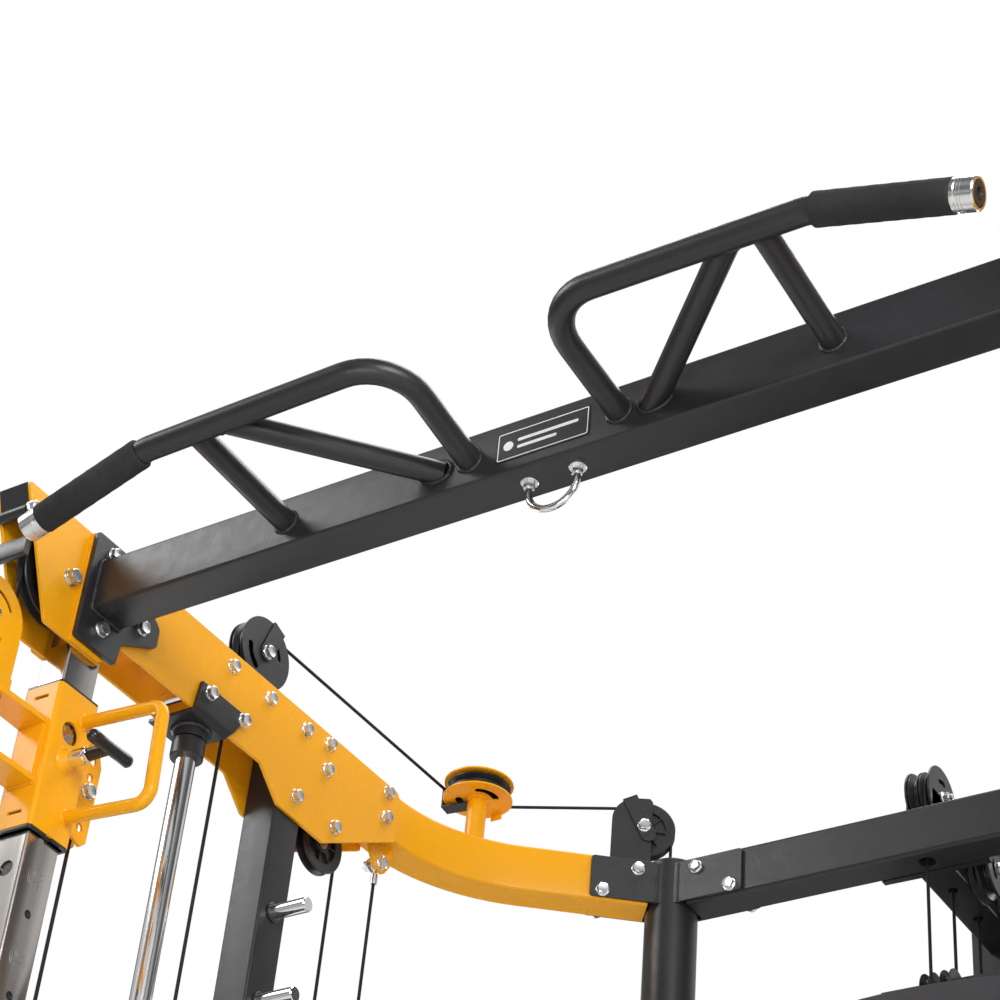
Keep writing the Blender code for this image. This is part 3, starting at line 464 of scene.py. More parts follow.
def between(tree, factor, low, high, start=0.35, end=0.65):
    """A colour that goes from low to high as the factor goes from start to end."""
    ramp = tree.nodes.new("ShaderNodeValToRGB")
    ramp.color_ramp.elements[0].position = start
    ramp.color_ramp.elements[0].color = (*low, 1)
    ramp.color_ramp.elements[1].position = end
    ramp.color_ramp.elements[1].color = (*high, 1)
    tree.links.new(factor, ramp.inputs["Fac"])
    return ramp.outputs["Color"]


def mapped(tree, factor, low, high, start=0.3, end=0.7):
    """A shader factor moved from the range start to end into the range low to high."""
    node = tree.nodes.new("ShaderNodeMapRange")
    node.inputs["From Min"].default_value = start
    node.inputs["From Max"].default_value = end
    node.inputs["To Min"].default_value = low
    node.inputs["To Max"].default_value = high
    tree.links.new(factor, node.inputs["Value"])
    return node.outputs["Result"]


def bumped(tree, shader, layers):
    """Bumps in layers of (height, strength, distance)."""
    normal = None
    for height, strength, distance in layers:
        node = tree.nodes.new("ShaderNodeBump")
        node.inputs["Strength"].default_value = strength
        node.inputs["Distance"].default_value = distance
        tree.links.new(height, node.inputs["Height"])
        if normal:
            tree.links.new(normal, node.inputs["Normal"])
        normal = node.outputs["Normal"]
    tree.links.new(normal, shader.inputs["Normal"])


def scaled(colour, factor):
    """A colour times a factor, with no channel over 1."""
    return tuple(min(c * factor, 1.0) for c in colour)


def finish_of(name, colour, rough, grain, metallic=0.0, vary=0.08, specular=0.5, coat=0.0):
    """A finish with mottled colour and roughness, and a grain of (scale, strength, depth, stretch)."""
    made = bpy.data.materials.new(name)
    made.use_nodes = True
    tree = made.node_tree
    shader = tree.nodes["Principled BSDF"]
    shader.inputs["Metallic"].default_value = metallic
    shader.inputs["Specular IOR Level"].default_value = specular
    shader.inputs["Coat Weight"].default_value = coat
    shader.inputs["Coat Roughness"].default_value = 0.12
    scale, strength, depth, stretch = grain
    cloudy = noise(tree, 9.0, 4.0)
    tree.links.new(between(tree, cloudy, scaled(colour, 1 - vary), scaled(colour, 1 + vary)),
                   shader.inputs["Base Color"])
    smudge = noise(tree, 55.0, 5.0, stretch)
    tree.links.new(mapped(tree, smudge, rough[0], rough[1]), shader.inputs["Roughness"])
    fine = noise(tree, scale, 2.0, stretch)
    coarse = noise(tree, scale / 7, 3.0, stretch)
    bumped(tree, shader, [(coarse, strength * 0.5, depth * 3), (fine, strength, depth)])
    return made


EVEN = (1, 1, 1)
ALONG_Z = (1, 1, 0.012)
ROUND = (0.02, 1, 1)
LOOKS = {
    "yellow": finish_of("yellow_paint", (0.90, 0.395, 0.006), (0.25, 0.28), (2500, 0.04, 0.0001, EVEN),
                        vary=0.008, specular=0.32),
    "black": finish_of("black_paint", (0.020, 0.0195, 0.022), (0.30, 0.38), (1900, 0.30, 0.0003, EVEN),
                       vary=0.08),
    "stainless": finish_of("stainless", (0.60, 0.57, 0.54), (0.10, 0.20), (1800, 0.08, 0.0001, ALONG_Z),
                           1.0, 0.05),
    "chrome": finish_of("chrome", (0.86, 0.86, 0.87), (0.09, 0.13), (2500, 0.01, 0.0001, EVEN), 1.0, 0.02),
    "zinc": finish_of("zinc", (0.74, 0.75, 0.77), (0.20, 0.36), (900, 0.15, 0.0001, EVEN), 1.0, 0.12),
    "aluminium": finish_of("aluminium", (0.80, 0.80, 0.80), (0.18, 0.32), (1500, 0.20, 0.0001, ROUND),
                           1.0, 0.06),
    "knurl": finish_of("knurl", (0.62, 0.62, 0.63), (0.26, 0.36), (1400, 0.8, 0.0004, EVEN), 1.0, 0.08),
    "foam": finish_of("foam", (0.022, 0.022, 0.024), (0.78, 0.95), (1100, 0.9, 0.0006, EVEN), vary=0.25,
                      specular=0.35),
    "nylon": finish_of("nylon", (0.020, 0.020, 0.021), (0.26, 0.40), (500, 0.12, 0.0002, EVEN), vary=0.12),
    "rubber": finish_of("rubber", (0.016, 0.016, 0.017), (0.18, 0.34), (240, 0.10, 0.0003, EVEN),
                        vary=0.15),
    "cable": finish_of("cable", (0.012, 0.012, 0.013), (0.50, 0.60), (2500, 0.04, 0.0001, EVEN),
                       vary=0.10, specular=0.22),
    "iron": finish_of("iron", (0.045, 0.045, 0.048), (0.42, 0.60), (350, 0.45, 0.0006, EVEN), 0.2, 0.18),
    "panel": finish_of("panel", (0.034, 0.032, 0.037), (0.38, 0.50), (1300, 0.30, 0.0003, EVEN), vary=0.08),
    "plate": finish_of("label_plate", (0.010, 0.010, 0.011), (0.30, 0.40), (900, 0.05, 0.0001, EVEN),
                       vary=0.1),
    "white": finish_of("label_ink", (0.82, 0.82, 0.82), (0.40, 0.55), (900, 0.05, 0.0001, EVEN), vary=0.03),
    "mark": finish_of("etched_mark", (0.36, 0.34, 0.33), (0.42, 0.55), (900, 0.15, 0.0001, EVEN), 1.0, 0.1),
}


def piece(name, shapes, look, body="frame", bevel=0.0, stands_for=(), sharp=31):
    """One visible object made of shapes, riding on its body."""
    points, faces = joined(shapes)
    made = helper((points, faces))
    made.name = name
    made.data.name = name
    made.data.materials.append(LOOKS[look])
    made.data.shade_smooth()
    made.data.set_sharp_from_angle(angle=math.radians(sharp))
    if bevel:
        modifier = made.modifiers.new("edge", "BEVEL")
        modifier.width = bevel
        modifier.segments = 2
        modifier.limit_method = "ANGLE"
        modifier.angle_limit = math.radians(32)
        modifier.harden_normals = True
    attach(made, body)
    if stands_for:
        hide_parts(*stands_for)
    return made


def keep(node, look, bevel=0.0012):
    """A CAD node that stays, with its material and softened edges."""
    made = frame["nodes"][node]
    made.data.materials.clear()
    made.data.materials.append(LOOKS[look])
    weld = made.modifiers.new("weld", "WELD")
    weld.merge_threshold = 0.00002
    edge = made.modifiers.new("edge", "BEVEL")
    edge.width = bevel
    edge.segments = 2
    edge.limit_method = "ANGLE"
    edge.angle_limit = math.radians(50)
    edge.harden_normals = True
    return made


# Pull-up beam


GRIP_FOOT = (0.106, -0.645, 2.117)
GRIP_BEND = (0.102, -0.832, 2.144)
GRIP_WRIST = (0.453, -0.854, 2.113)
GRIP_END = (0.640, -0.8443, 2.0595)
GRIP_FILLET = 0.072
GRIP_R = 0.016
LONG_BRACE = ((0.148, -0.645, 2.116), (0.345, -0.832, 2.133))
SHORT_BRACE = ((0.386, -0.645, 2.117), (0.390, -0.835, 2.128))
BRACE_R = 0.0155
CAP_LENGTH = 0.026
FLANGE_T = 0.008
FLANGE = [
    (-0.667, TOP),
    (-0.610, TOP),
    (-0.524, 2.138),
    (-0.515, 2.130),
    (-0.515, 2.100),
    (-0.581, 2.065),
    (-0.585, 2.028),
    (-0.667, 2.028),
]
FLANGE_BOLTS = [(-0.631, 2.180), (-0.625, 2.061), (-0.551, 2.110)]


def out_to(side, point):
    """A point drawn for the right side, put on the given side."""
    return Vector((side * point[0], point[1], point[2]))


def slide_to_tube(point, ahead, a, b, radius):
    """Moves point along ahead until it meets the round bar from a to b."""
    axis = (b - a).normalized()
    probe = point
    for step in range(150):
        probe = point + ahead * (step * 0.0005 - 0.070)
        away = probe - a
        if (away - axis * away.dot(axis)).length <= radius:
            return probe
    return probe


def weld_on_tube(start, end, radius, a, b, tube_radius):
    """The bead where the round bar from start to end meets the bar from a to b."""
    ahead = (end - start).normalized()
    side = ahead.orthogonal().normalized()
    other = ahead.cross(side)
    path = []
    for k in range(40):
        turn = 2 * math.pi * k / 40
        edge = end + radius * (side * math.cos(turn) + other * math.sin(turn))
        path.append(slide_to_tube(edge, ahead, a, b, tube_radius))
    return bead(path, 0.0026)


def pull_up_beam():
    """The front beam: rectangular tube, welded end flanges and two multi-grips."""
    flange_face = INNER_FACE - 0.0003
    height = BEAM_LOW + TUBE_H / 2
    outline = rounded(TUBE_W, TUBE_H, 0.0045, (BEAM_Y, height), 6)
    beam_end = flange_face - FLANGE_T + 0.001
    body = [flat(outline, -beam_end, beam_end)]
    welds = []
    front = BEAM_Y - TUBE_W / 2
    for side in SIDES.values():
        faces = sorted((side * flange_face, side * (flange_face - FLANGE_T)))
        body.append(flat(softened(FLANGE, 0.006), *faces))
        foot, bend, wrist, end = (out_to(side, p) for p in (GRIP_FOOT, GRIP_BEND, GRIP_WRIST, GRIP_END))
        body.append(tube(filleted([foot, bend, wrist, end], GRIP_FILLET), GRIP_R, 40))
        welds.append(weld_round(foot, bend - foot, GRIP_R, (0, front, 0), Y))
        for brace in (LONG_BRACE, SHORT_BRACE):
            start, tip = (out_to(side, p) for p in brace)
            body.append(rod(start, tip, BRACE_R, 36))
            welds.append(weld_round(start, tip - start, BRACE_R, (0, front, 0), Y))
            welds.append(weld_on_tube(start, tip, BRACE_R, bend, wrist, GRIP_R))
        seam = [Vector((side * (beam_end - 0.0015), y, z)) for y, z in outline]
        welds.append(bead(subdivided(seam), 0.0036))
    piece("pull_up_beam_visual", body, "black", bevel=0.0010, stands_for=["pull_up_beam"])
    piece("pull_up_beam_welds", welds, "black", sharp=80)


def subdivided(path, spacing=0.004):
    """Points a few millimetres apart along a closed path."""
    points = []
    for a, b in zip(path, path[1:] + path[:1]):
        count = max(1, round((b - a).length / spacing))
        points += [a.lerp(b, i / count) for i in range(count)]
    return points


def grip_ends(label, side):
    """Foam sleeve, grooved aluminium cap and plug of one grip."""
    wrist, end = out_to(side, GRIP_WRIST), out_to(side, GRIP_END)
    ahead = (end - wrist).normalized()
    length = (end - wrist).length
    first, last = 0.009, length - CAP_LENGTH + 0.003
    sleeve = [(0.0163, first), (0.0186, first), (0.0198, first + 0.0015)]
    count = 24
    for i in range(1, count):
        along = first + (last - first) * i / count
        sleeve.append((0.0198 + 0.00018 * math.sin(1.9 * i), along))
    sleeve += [(0.0198, last - 0.0015), (0.0188, last), (0.0163, last)]
    foam = piece(
        f"foam_grip_{label}_visual",
        [turned(sleeve, wrist, ahead, 56, hollow=True)],
        "foam",
        stands_for=[f"foam_grip_{label}"],
        sharp=60,
    )
    outer = 0.0190
    cap = [(0.0162, last), (outer, last), (outer, last + 0.004)]
    for groove in range(3):
        z = last + 0.005 + groove * 0.0035
        cap += [(outer - 0.0007, z), (outer - 0.0007, z + 0.0008), (outer, z + 0.0012), (outer, z + 0.0030)]
    cap += [(outer, last + 0.0245), (outer - 0.0012, last + 0.026), (0.0150, last + 0.026),
            (0.0150, last + 0.018)]
    cap += [(0.0162, last + 0.018)]
    piece(f"grip_cap_{label}", [turned(cap, wrist, ahead, 56, hollow=True)], "aluminium", sharp=30)
    plug = [
        (0.0147, last + 0.010),
        (0.0147, last + 0.0250),
        (0.0130, last + 0.0264),
        (0.0075, last + 0.0264),
        (0.0062, last + 0.0225),
        (0.0010, last + 0.0225),
    ]
    piece(f"grip_plug_{label}", [turned(plug, wrist, ahead, 40)], "nylon")


def hanging_eye():
    """The chrome loop under the beam, with a washer and nut on each leg."""
    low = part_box("eye_bolt")[0].z + 0.0045
    out = 0.034
    place = middle("eye_bolt")
    corners = [(-out, BEAM_LOW), (-out, low), (out, low), (out, BEAM_LOW)]
    path = filleted([Vector((x, place.y, z)) for x, z in corners], 0.0335, 12)
    piece("eye_bolt_visual", [tube(path, 0.0045, 20)], "chrome", stands_for=["eye_bolt"])
    nuts = []
    for leg in (-out, out):
        nuts.append(nut((leg, place.y, BEAM_LOW), -Z, 0.013, 0.3 + leg * 9, 0))
    piece("eye_bolt_nuts", nuts, "zinc")


def label_plate():
    """The beam's label: a black plate with a white border and no mark."""
    front = BEAM_Y - TUBE_W / 2
    z = BEAM_LOW + TUBE_H / 2
    wide, high = 0.132, 0.046
    plate = cross_plate(rounded(wide, high, 0.003, (0, z)), front - 0.0009, front)
    piece("label_plate", [plate], "plate")
    outer = rounded(wide - 0.004, high - 0.004, 0.0025, (0, z))
    inner = rounded(wide - 0.0065, high - 0.0065, 0.0018, (0, z))
    border = drilled(
        cross_plate(outer, front - 0.0012, front - 0.0008),
        [cross_plate(inner, front - 0.01, front)],
    )
    bars = []
    for row, (start, end) in enumerate(((-0.036, 0.050), (-0.036, 0.020))):
        y = z + 0.005 - row * 0.011
        bars.append(cross_plate(rounded(end - start, 0.0045, 0.002, ((start + end) / 2, y)),
                                front - 0.0012, front - 0.0008))
    bars.append(cross_plate(circle((-0.049, z - 0.0005), 0.0070, 32), front - 0.0012, front - 0.0008))
    piece("label_border", [border] + bars, "white")


# Towers


PLATE_OUTLINE = [
    (-0.668, TOP),
    (0.077, TOP),
    (PLATE_REAR, TOP - 0.008),
    (PLATE_REAR, 2.115),
    (-0.089, 2.022),
    (-0.203, 2.025),
    (-0.253, 2.067),
    (-0.570, 2.067),
    (-0.606, PLATE_LOW),
    (-0.668, PLATE_LOW),
]
CHEEK_OUTLINE = [
    (-0.797, TOP),
    (-0.714, PLATE_LOW),
    (-0.600, PLATE_LOW),
    (-0.600, TOP),
]
PLATE_BOLTS = [
    (-0.348, 2.175),
    (-0.257, 2.174),
    (-0.165, 2.174),
    (-0.106, 2.183),
    (-0.104, 2.139),
    (-0.165, 2.059),
    (-0.068, 2.059),
    (0.051, 2.185),
    (0.053, 2.142),
]
BRACKET_BOLTS = [(-0.391, 2.101), (-0.313, 2.101)]
BRACKET_TOP = 2.112
SPACER_BOLT = (-0.781, 2.162)


def at(side, out, y, z):
    """A point at the distance out from the middle plane, on the given side."""
    return Vector((side * out, y, z))


def head_plates(label, side):
    """Two plates with their cheeks, and the bolts and nuts through them."""
    inner = sorted((side * INNER_FACE, side * (INNER_FACE + PLATE)))
    inner_cheek = sorted((side * (INNER_FACE + PLATE), side * (INNER_FACE + 2 * PLATE)))
    outer = sorted((side * OUTER_FACE, side * (OUTER_FACE - PLATE)))
    outer_cheek = sorted((side * (OUTER_FACE - PLATE), side * (OUTER_FACE - 2 * PLATE)))
    outline = softened(PLATE_OUTLINE, 0.005)
    cheek = softened(CHEEK_OUTLINE, 0.004)
    for name, plate, cheek_faces in (("inner", inner, inner_cheek), ("outer", outer, outer_cheek)):
        piece(
            f"{name}_head_plate_{label}_visual",
            [flat(outline, *plate), flat(cheek, *cheek_faces)],
            "yellow",
            bevel=0.0007,
            stands_for=[f"{name}_head_plate_{label}"],
        )
    inward, outward = -side * X, side * X
    heads, nuts = [], []
    for i, (y, z) in enumerate(PLATE_BOLTS):
        heads.append(bolt(at(side, INNER_FACE, y, z), inward, turn=0.5 + i * 0.9))
        nuts.append(nut(at(side, OUTER_FACE, y, z), outward, turn=0.2 + i * 0.7))
    for i, (y, z) in enumerate(BRACKET_BOLTS):
        heads.append(bolt(at(side, INNER_FACE - 0.0063, y, z), inward, turn=0.1 + i * 0.8))
        nuts.append(nut(at(side, OUTER_FACE, y, z), outward, turn=0.6))
    flange_face = INNER_FACE - 0.0003 - FLANGE_T
    for i, (y, z) in enumerate(FLANGE_BOLTS):
        heads.append(bolt(at(side, flange_face, y, z), inward, turn=0.9 + i * 0.5))
        nuts.append(nut(at(side, OUTER_FACE, y, z), outward, turn=0.4))
    head_pulley = middle(f"head_pulley_{label}")
    cheek_in, cheek_out = INNER_FACE + PLATE, OUTER_FACE - PLATE
    heads.append(bolt(at(side, cheek_in, head_pulley.y, head_pulley.z), inward, turn=0.7, big=1.15,
                      spring=True))
    nuts.append(nut(at(side, cheek_out, head_pulley.y, head_pulley.z), outward, 0.019, 0.3))
    heads.append(bolt(at(side, cheek_in, *SPACER_BOLT), inward, turn=0.1))
    nuts.append(nut(at(side, cheek_out, *SPACER_BOLT), outward, turn=0.9))
    piece(f"head_bolts_{label}", heads, "zinc")
    piece(f"head_nuts_{label}", nuts, "zinc")


def head_inside(label, side):
    """Between the plates: spacer, cover, front bar and cross rods."""
    inside = INNER_FACE + 2 * PLATE
    outside = OUTER_FACE - 2 * PLATE
    spacer = rod(at(side, inside, *SPACER_BOLT), at(side, outside, *SPACER_BOLT), 0.0085, 32)
    piece(f"front_spacer_{label}", [spacer], "black")
    cross_rods = []
    for y, z in ((-0.415, 2.090), (-0.455, 2.150)):
        start, end = at(side, INNER_FACE + PLATE, y, z), at(side, OUTER_FACE - PLATE, y, z)
        cross_rods.append(rod(start, end, 0.008, 32))
    piece(f"head_rods_{label}", cross_rods, "chrome")
    cover = [
        (-0.796, TOP - 0.001),
        (-0.640, TOP - 0.001),
        (-0.640, TOP - 0.004),
        (-0.792, TOP - 0.004),
        (-0.778, TOP - 0.036),
        (-0.781, TOP - 0.037),
    ]
    bar = rounded(0.010, 0.030, 0.002, (-0.768, 2.112), 2)
    faces = sorted((side * (inside + 0.0003), side * (outside - 0.0003)))
    piece(f"head_cover_{label}", [flat(cover, *faces), flat(bar, *faces)], "black", bevel=0.0006)


def front_column(label, side):
    """The polished column: pin holes inside, adjustment holes in front, numbers and a foot plate."""
    half_x, half_y = COLUMN_HALF
    outline = rounded(2 * half_x, 2 * half_y, 0.004, (side * TOWER, COLUMN_Y))
    walls = level_plate(outline, COLUMN_LOW + 0.004, COLUMN_TOP)
    bore = rounded(2 * half_x - 0.004, 2 * half_y - 0.004, 0.0025, (side * TOWER, COLUMN_Y))
    cuts = [level_plate(bore, COLUMN_LOW + 0.02, COLUMN_TOP + 0.1)]
    fork = [(-0.014, -0.127), (0.014, -0.127), (0.014, 0.123), (-0.014, 0.123)]
    fork = [(side * TOWER + x, COLUMN_Y + y) for x, y in fork]
    cuts.append(level_plate(fork, 2.030, COLUMN_TOP + 0.01))
    face = TOWER - half_x
    # The dark rubber discs just inside the column, behind each pin hole and each front hole, are painted shade:
    # they stand for the dark inside of the hollow column seen through the holes.
    pins, fronts, hole_shade_discs = [], [], []
    for hole in range(PIN_HOLES):
        z = PIN_TOP - PIN_PITCH * hole
        pins.append(rod(at(side, face - 0.01, COLUMN_Y, z), at(side, face + 0.008, COLUMN_Y, z), 0.0058,
                        24))
        hole_shade_discs.append(rod(at(side, face + 0.0025, COLUMN_Y, z), at(side, face + 0.0045, COLUMN_Y, z),
                          0.0085, 24))
        if hole:
            z += PIN_PITCH / 2
            start = Vector((side * TOWER, COLUMN_Y - half_y - 0.01, z))
            fronts.append(rod(start, start + Y * 0.02, 0.011, 32))
            hole_shade_discs.append(rod(start + Y * 0.0125, start + Y * 0.0145, 0.016, 32))
    cuts += [joined(pins), joined(fronts)]
    plate = rounded(0.058, 0.084, 0.004, (side * TOWER, COLUMN_Y))
    foot = level_plate(plate, COLUMN_LOW, COLUMN_LOW + 0.008)
    piece(
        f"front_column_{label}_visual",
        [drilled(walls, cuts), foot],
        "stainless",
        stands_for=[f"front_column_{label}"],
    )
    # Painted shade behind the holes, made as black rubber discs.
    piece(f"column_hole_shade_{label}", hole_shade_discs, "rubber")
    marks = []
    for hole in range(PIN_HOLES):
        place = at(side, face, COLUMN_Y, PIN_TOP - PIN_PITCH * hole + 0.048)
        marks.append(lettering(f"{hole + 1:02d}", 0.030, place, -side * Y, Z, 0.00045))
    piece(f"column_numbers_{label}", marks, "mark")


def smith_upright(label, side):
    """The square upright with chrome latch pegs, each in a black ferrule."""
    node = f"smith_upright_{label}"
    low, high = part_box(node)
    y = -0.170
    outline = rounded(SLOT - 0.0006, TUBE_W, 0.0045, (side * TOWER, y), 6)
    foot = rounded(0.058, 0.100, 0.004, (side * TOWER, y))
    body = [
        level_plate(outline, low.z + 0.004, high.z),
        level_plate(foot, low.z, low.z + 0.008),
    ]
    face = TOWER - SLOT / 2
    pegs = []
    for peg in range(11):
        z = 1.867 - 0.138 * peg
        start = at(side, face, y, z)
        body.append(rod(start, start - X * side * 0.003, 0.0145, 32, 0.001))
        end = start - X * side * 0.062
        pegs.append(rod(start, end, 0.011, 36, 0.0014))
    piece(f"{node}_visual", body, "black", bevel=0.0006, stands_for=[node])
    piece(f"latch_pegs_{label}", pegs, "chrome")


def guide_rod(label, side):
    """Chrome rod with its collar, and the rubber bumpers."""
    x = side * TOWER
    low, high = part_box(f"guide_rod_{label}")
    stop_top = 0.400
    rod_shape = rod((x, ROD_Y, low.z + 0.01), (x, ROD_Y, high.z), 0.015, 56)
    collar = rod((x, ROD_Y, low.z), (x, ROD_Y, stop_top - 0.012), 0.022, 48, 0.002)
    rod_name = f"guide_rod_{label}"
    piece(f"{rod_name}_visual", [rod_shape, collar], "chrome", stands_for=[rod_name])
    bump = [(0.0152, 0), (0.0226, 0), (0.0240, 0.0014), (0.0240, 0.0268), (0.0228, 0.0280),
            (0.0152, 0.0280)]
    piece(f"upper_bumper_{label}", [turned(bump, (x, ROD_Y, 2.014), Z, 56, True)], "nylon")
    low_bump = [(0.0152, -0.0118), (0.0215, -0.0118), (0.0215, -0.0013), (0.0205, -0.0003),
                (0.0152, -0.0003)]
    piece(f"lower_bumper_{label}", [turned(low_bump, (x, ROD_Y, stop_top), Z, 56, True)], "nylon")


def guide_rod_bracket(label, side):
    """The bent angle under the head plates, with the guide rod's welded socket."""
    floor_top = 2.067 - 0.0003
    thick = 0.006
    face = INNER_FACE - 0.0003 - thick
    bend = 0.012
    front, rear, lean = ROD_Y - 0.044, ROD_Y + 0.038, 0.034
    low = floor_top - thick
    section = [(0.790, low)]
    for step in range(7):
        turn = math.pi / 2 * step / 6
        section.append((face + bend - bend * math.sin(turn), low + bend - bend * math.cos(turn)))
    section += [(face, BRACKET_TOP), (face + thick, BRACKET_TOP)]
    section += [(face + thick, floor_top), (0.790, floor_top)]
    rings = []
    for end in (0, 1):
        ring = []
        for x, z in section:
            rise = min(max(z - low - thick, 0) / lean, 1)
            corner = 0.006 * max(0, (z - BRACKET_TOP + 0.001) / 0.001)
            y = rear + lean * rise - corner if end else front + corner
            ring.append(Vector((side * x, y, z)))
        rings.append(ring)
    base = Vector((side * TOWER, ROD_Y, 2.0435))
    socket = [(0.0153, 0), (0.0232, 0), (0.0240, 0.0010), (0.0240, 0.0182), (0.0153, 0.0182)]
    ring = []
    for step in range(72):
        turn = 2 * math.pi * step / 72
        ring.append(base + Z * 0.0155 + 0.0247 * Vector((math.cos(turn), math.sin(turn), 0)))
    name = f"guide_rod_bracket_{label}"
    shapes = [loft(rings), turned(socket, base, Z, 56, True)]
    piece(f"{name}_visual", shapes, "black", bevel=0.0007, stands_for=[name])
    piece(f"socket_weld_{label}", [bead(ring, 0.0042)], "black", sharp=80)


# Top tubes and rear columns


def curve_start(side):
    """The corner of a top tube's centre line, before it is rounded."""
    return at(side, TOWER, 0.229, 0)


def curve_ahead(side):
    """The heading of a top tube from its corner to the rear column."""
    return (at(side, REAR_OUT, REAR, 0) - curve_start(side)).normalized()


def curved_top_tube(label, side):
    """The bent yellow tube with its pulley post, guard disc and cable lug."""
    end = at(side, REAR_OUT, REAR, 0) - curve_ahead(side) * (REAR_R + 0.0006)
    path = filleted([at(side, TOWER, -0.130, 0), curve_start(side), end], 0.300, 20)
    outline = rounded(SLOT - 0.0006, TUBE_H, 0.0045, (0, TOP - TUBE_H / 2))
    flat_pulley = middle(f"flat_pulley_{label}")
    base = Vector((flat_pulley.x, flat_pulley.y, 0))
    post = rod(base + Z * (TOP - 0.006), base + Z * (flat_pulley.z - 0.013), 0.016, 40)
    lug = [
        (0.044, TOP - TUBE_H + 0.004),
        (0.060, 2.092),
        (0.074, 2.071),
        (0.098, 2.071),
        (0.112, 2.092),
        (0.115, TOP - TUBE_H + 0.004),
    ]
    lug_faces = sorted((side * (TOWER - 0.011), side * (TOWER - 0.005)))
    ring = [base + Z * TOP + 0.0165 * Vector((math.cos(t / 8), math.sin(t / 8), 0)) for t in range(50)]
    collar = [p + Z * (flat_pulley.z - 0.016 - TOP) for p in ring]
    shapes = [
        swept(path, outline),
        post,
        flat(softened(lug, 0.010), *lug_faces),
        bead(ring, 0.0024),
        bead(collar, 0.0024),
        guard_disc(flat_pulley, 0.057, -0.0155, ears=True),
    ]
    name = f"curved_top_tube_{label}"
    piece(f"{name}_visual", shapes, "yellow", bevel=0.0007, stands_for=[name])
    cap = guard_disc(flat_pulley, 0.057, 0.0125, ears=False)
    piece(f"flat_pulley_guard_{label}", [cap], "yellow", bevel=0.0005)
    heading = Vector((side, -0.12, 0)).normalized()
    strap = [(0.0575, -0.024), (0.0605, -0.024), (0.0605, 0.014), (0.0575, 0.014)]
    strap = flat(strap, -0.012, 0.012, heading, Z, flat_pulley)
    fold = [(0.014, -0.024), (0.0605, -0.024), (0.0605, -0.021), (0.014, -0.021)]
    fold = flat(fold, -0.012, 0.012, heading, Z, flat_pulley)
    piece(f"flat_pulley_retainer_{label}", [strap, fold], "black", bevel=0.0006)
    top = flat_pulley + Z * 0.0155
    piece(f"flat_pulley_bolt_{label}", [bolt(top, Z, turn=0.4)], "zinc")
    inward = -side * X
    heads = [
        bolt(at(side, TOWER - 0.011, *LUG_BOLT), inward, turn=0.3),
        nut(at(side, TOWER + 0.006, *LUG_BOLT), -inward),
        rod(at(side, TOWER - 0.005, *LUG_BOLT), at(side, TOWER + 0.006, *LUG_BOLT), 0.0048, 20),
    ]
    piece(f"lug_bolt_{label}", heads, "zinc")


def guard_disc(centre, radius, low, ears):
    """A level disc with two oval slots and, if asked, a tab turned down at its rear edge."""
    disc = level_plate(circle((centre.x, centre.y), radius, 72), centre.z + low, centre.z + low + 0.003)
    cuts = []
    for start in (-55, 145):
        slot = kidney((centre.x, centre.y), 0.024, 0.037, start, start + 66)
        cuts.append(level_plate(slot, centre.z - 0.05, centre.z + 0.05))
    shapes = [drilled(disc, cuts)]
    if ears:
        rear = centre.y + radius - 0.010
        lower = (centre.x - 0.004, rear, centre.z + low - 0.012)
        upper = (centre.x + 0.016, rear + 0.003, centre.z + low + 0.001)
        shapes.append(brick(lower, upper))
    return joined(shapes)


def rear_column(label, side):
    """The round column with welded cheeks, its cap and the column pulley's fork."""
    foot = at(side, REAR_OUT, REAR, 0)
    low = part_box(f"rear_column_{label}")[0].z
    top = TOP + 0.004
    body = [level_plate(circle((foot.x, foot.y), REAR_R, 64), low + 0.004, top)]
    plate = rounded(0.116, 0.058, 0.004, (foot.x, foot.y))
    body.append(level_plate(plate, low, low + 0.008))
    mid = TOP - TUBE_H / 2
    bolts, welds = [], []
    for ahead, reach in ((-curve_ahead(side), 0.137), (Vector((-side, 0, 0)), 0.143)):
        across = Vector((ahead.y, -ahead.x, 0))
        for flank in (-1, 1):
            out = across * flank
            near = foot + out * (TUBE_W / 2 + 0.0003)
            cheek = [(0.020, mid - 0.036), (reach, mid - 0.036), (reach, mid + 0.036), (0.020, mid + 0.036)]
            cheek = softened(cheek, 0.005)
            right = ahead * flank
            shape = flat([(u * flank, v) for u, v in cheek], 0, 0.0055, right, Z, near)
            if right.cross(Z).dot(out) < 0:
                shape = flat([(u * flank, v) for u, v in cheek], -0.0055, 0, right, Z, near)
            body.append(shape)
            seam_start = near + out * 0.004 + ahead * (REAR_R - 0.012)
            seam = [seam_start + Z * (mid - 0.034 + i * 0.0034) for i in range(21)]
            welds.append(bead(seam, 0.0030, False))
            for along, z in ((0.062, mid + 0.019), (reach - 0.020, mid - 0.026)):
                place = near + out * 0.0055 + ahead * along + Z * z
                bolts.append(bolt(place, out, turn=0.3 + along * 9))
    name = f"rear_column_{label}"
    piece(f"{name}_visual", body + welds + column_fork(label, side), "black", bevel=0.0006,
          stands_for=[name])
    piece(f"rear_column_bolts_{label}", bolts, "zinc")
    cap = [(0.001, 0.0045), (0.030, 0.0042), (0.040, 0.0025), (0.0422, 0.0002), (0.001, 0.0002)]
    piece(f"rear_column_cap_{label}", [turned(cap, (foot.x, foot.y, top), Z, 56)], "nylon")


def column_axis(label, side):
    """The middle of the column pulley and its level direction away from the flat pulley."""
    place = middle(f"column_pulley_{label}")
    joint = next(j for j in frame["joints"] if j["name"] == f"column_pulley_{label}_spin")
    axis = Vector(joint["axis"]).normalized()
    ahead = Vector((-axis.y, axis.x, 0))
    if ahead.dot(Vector((-side, 0, 0))) < 0:
        ahead = -ahead
    return place, ahead


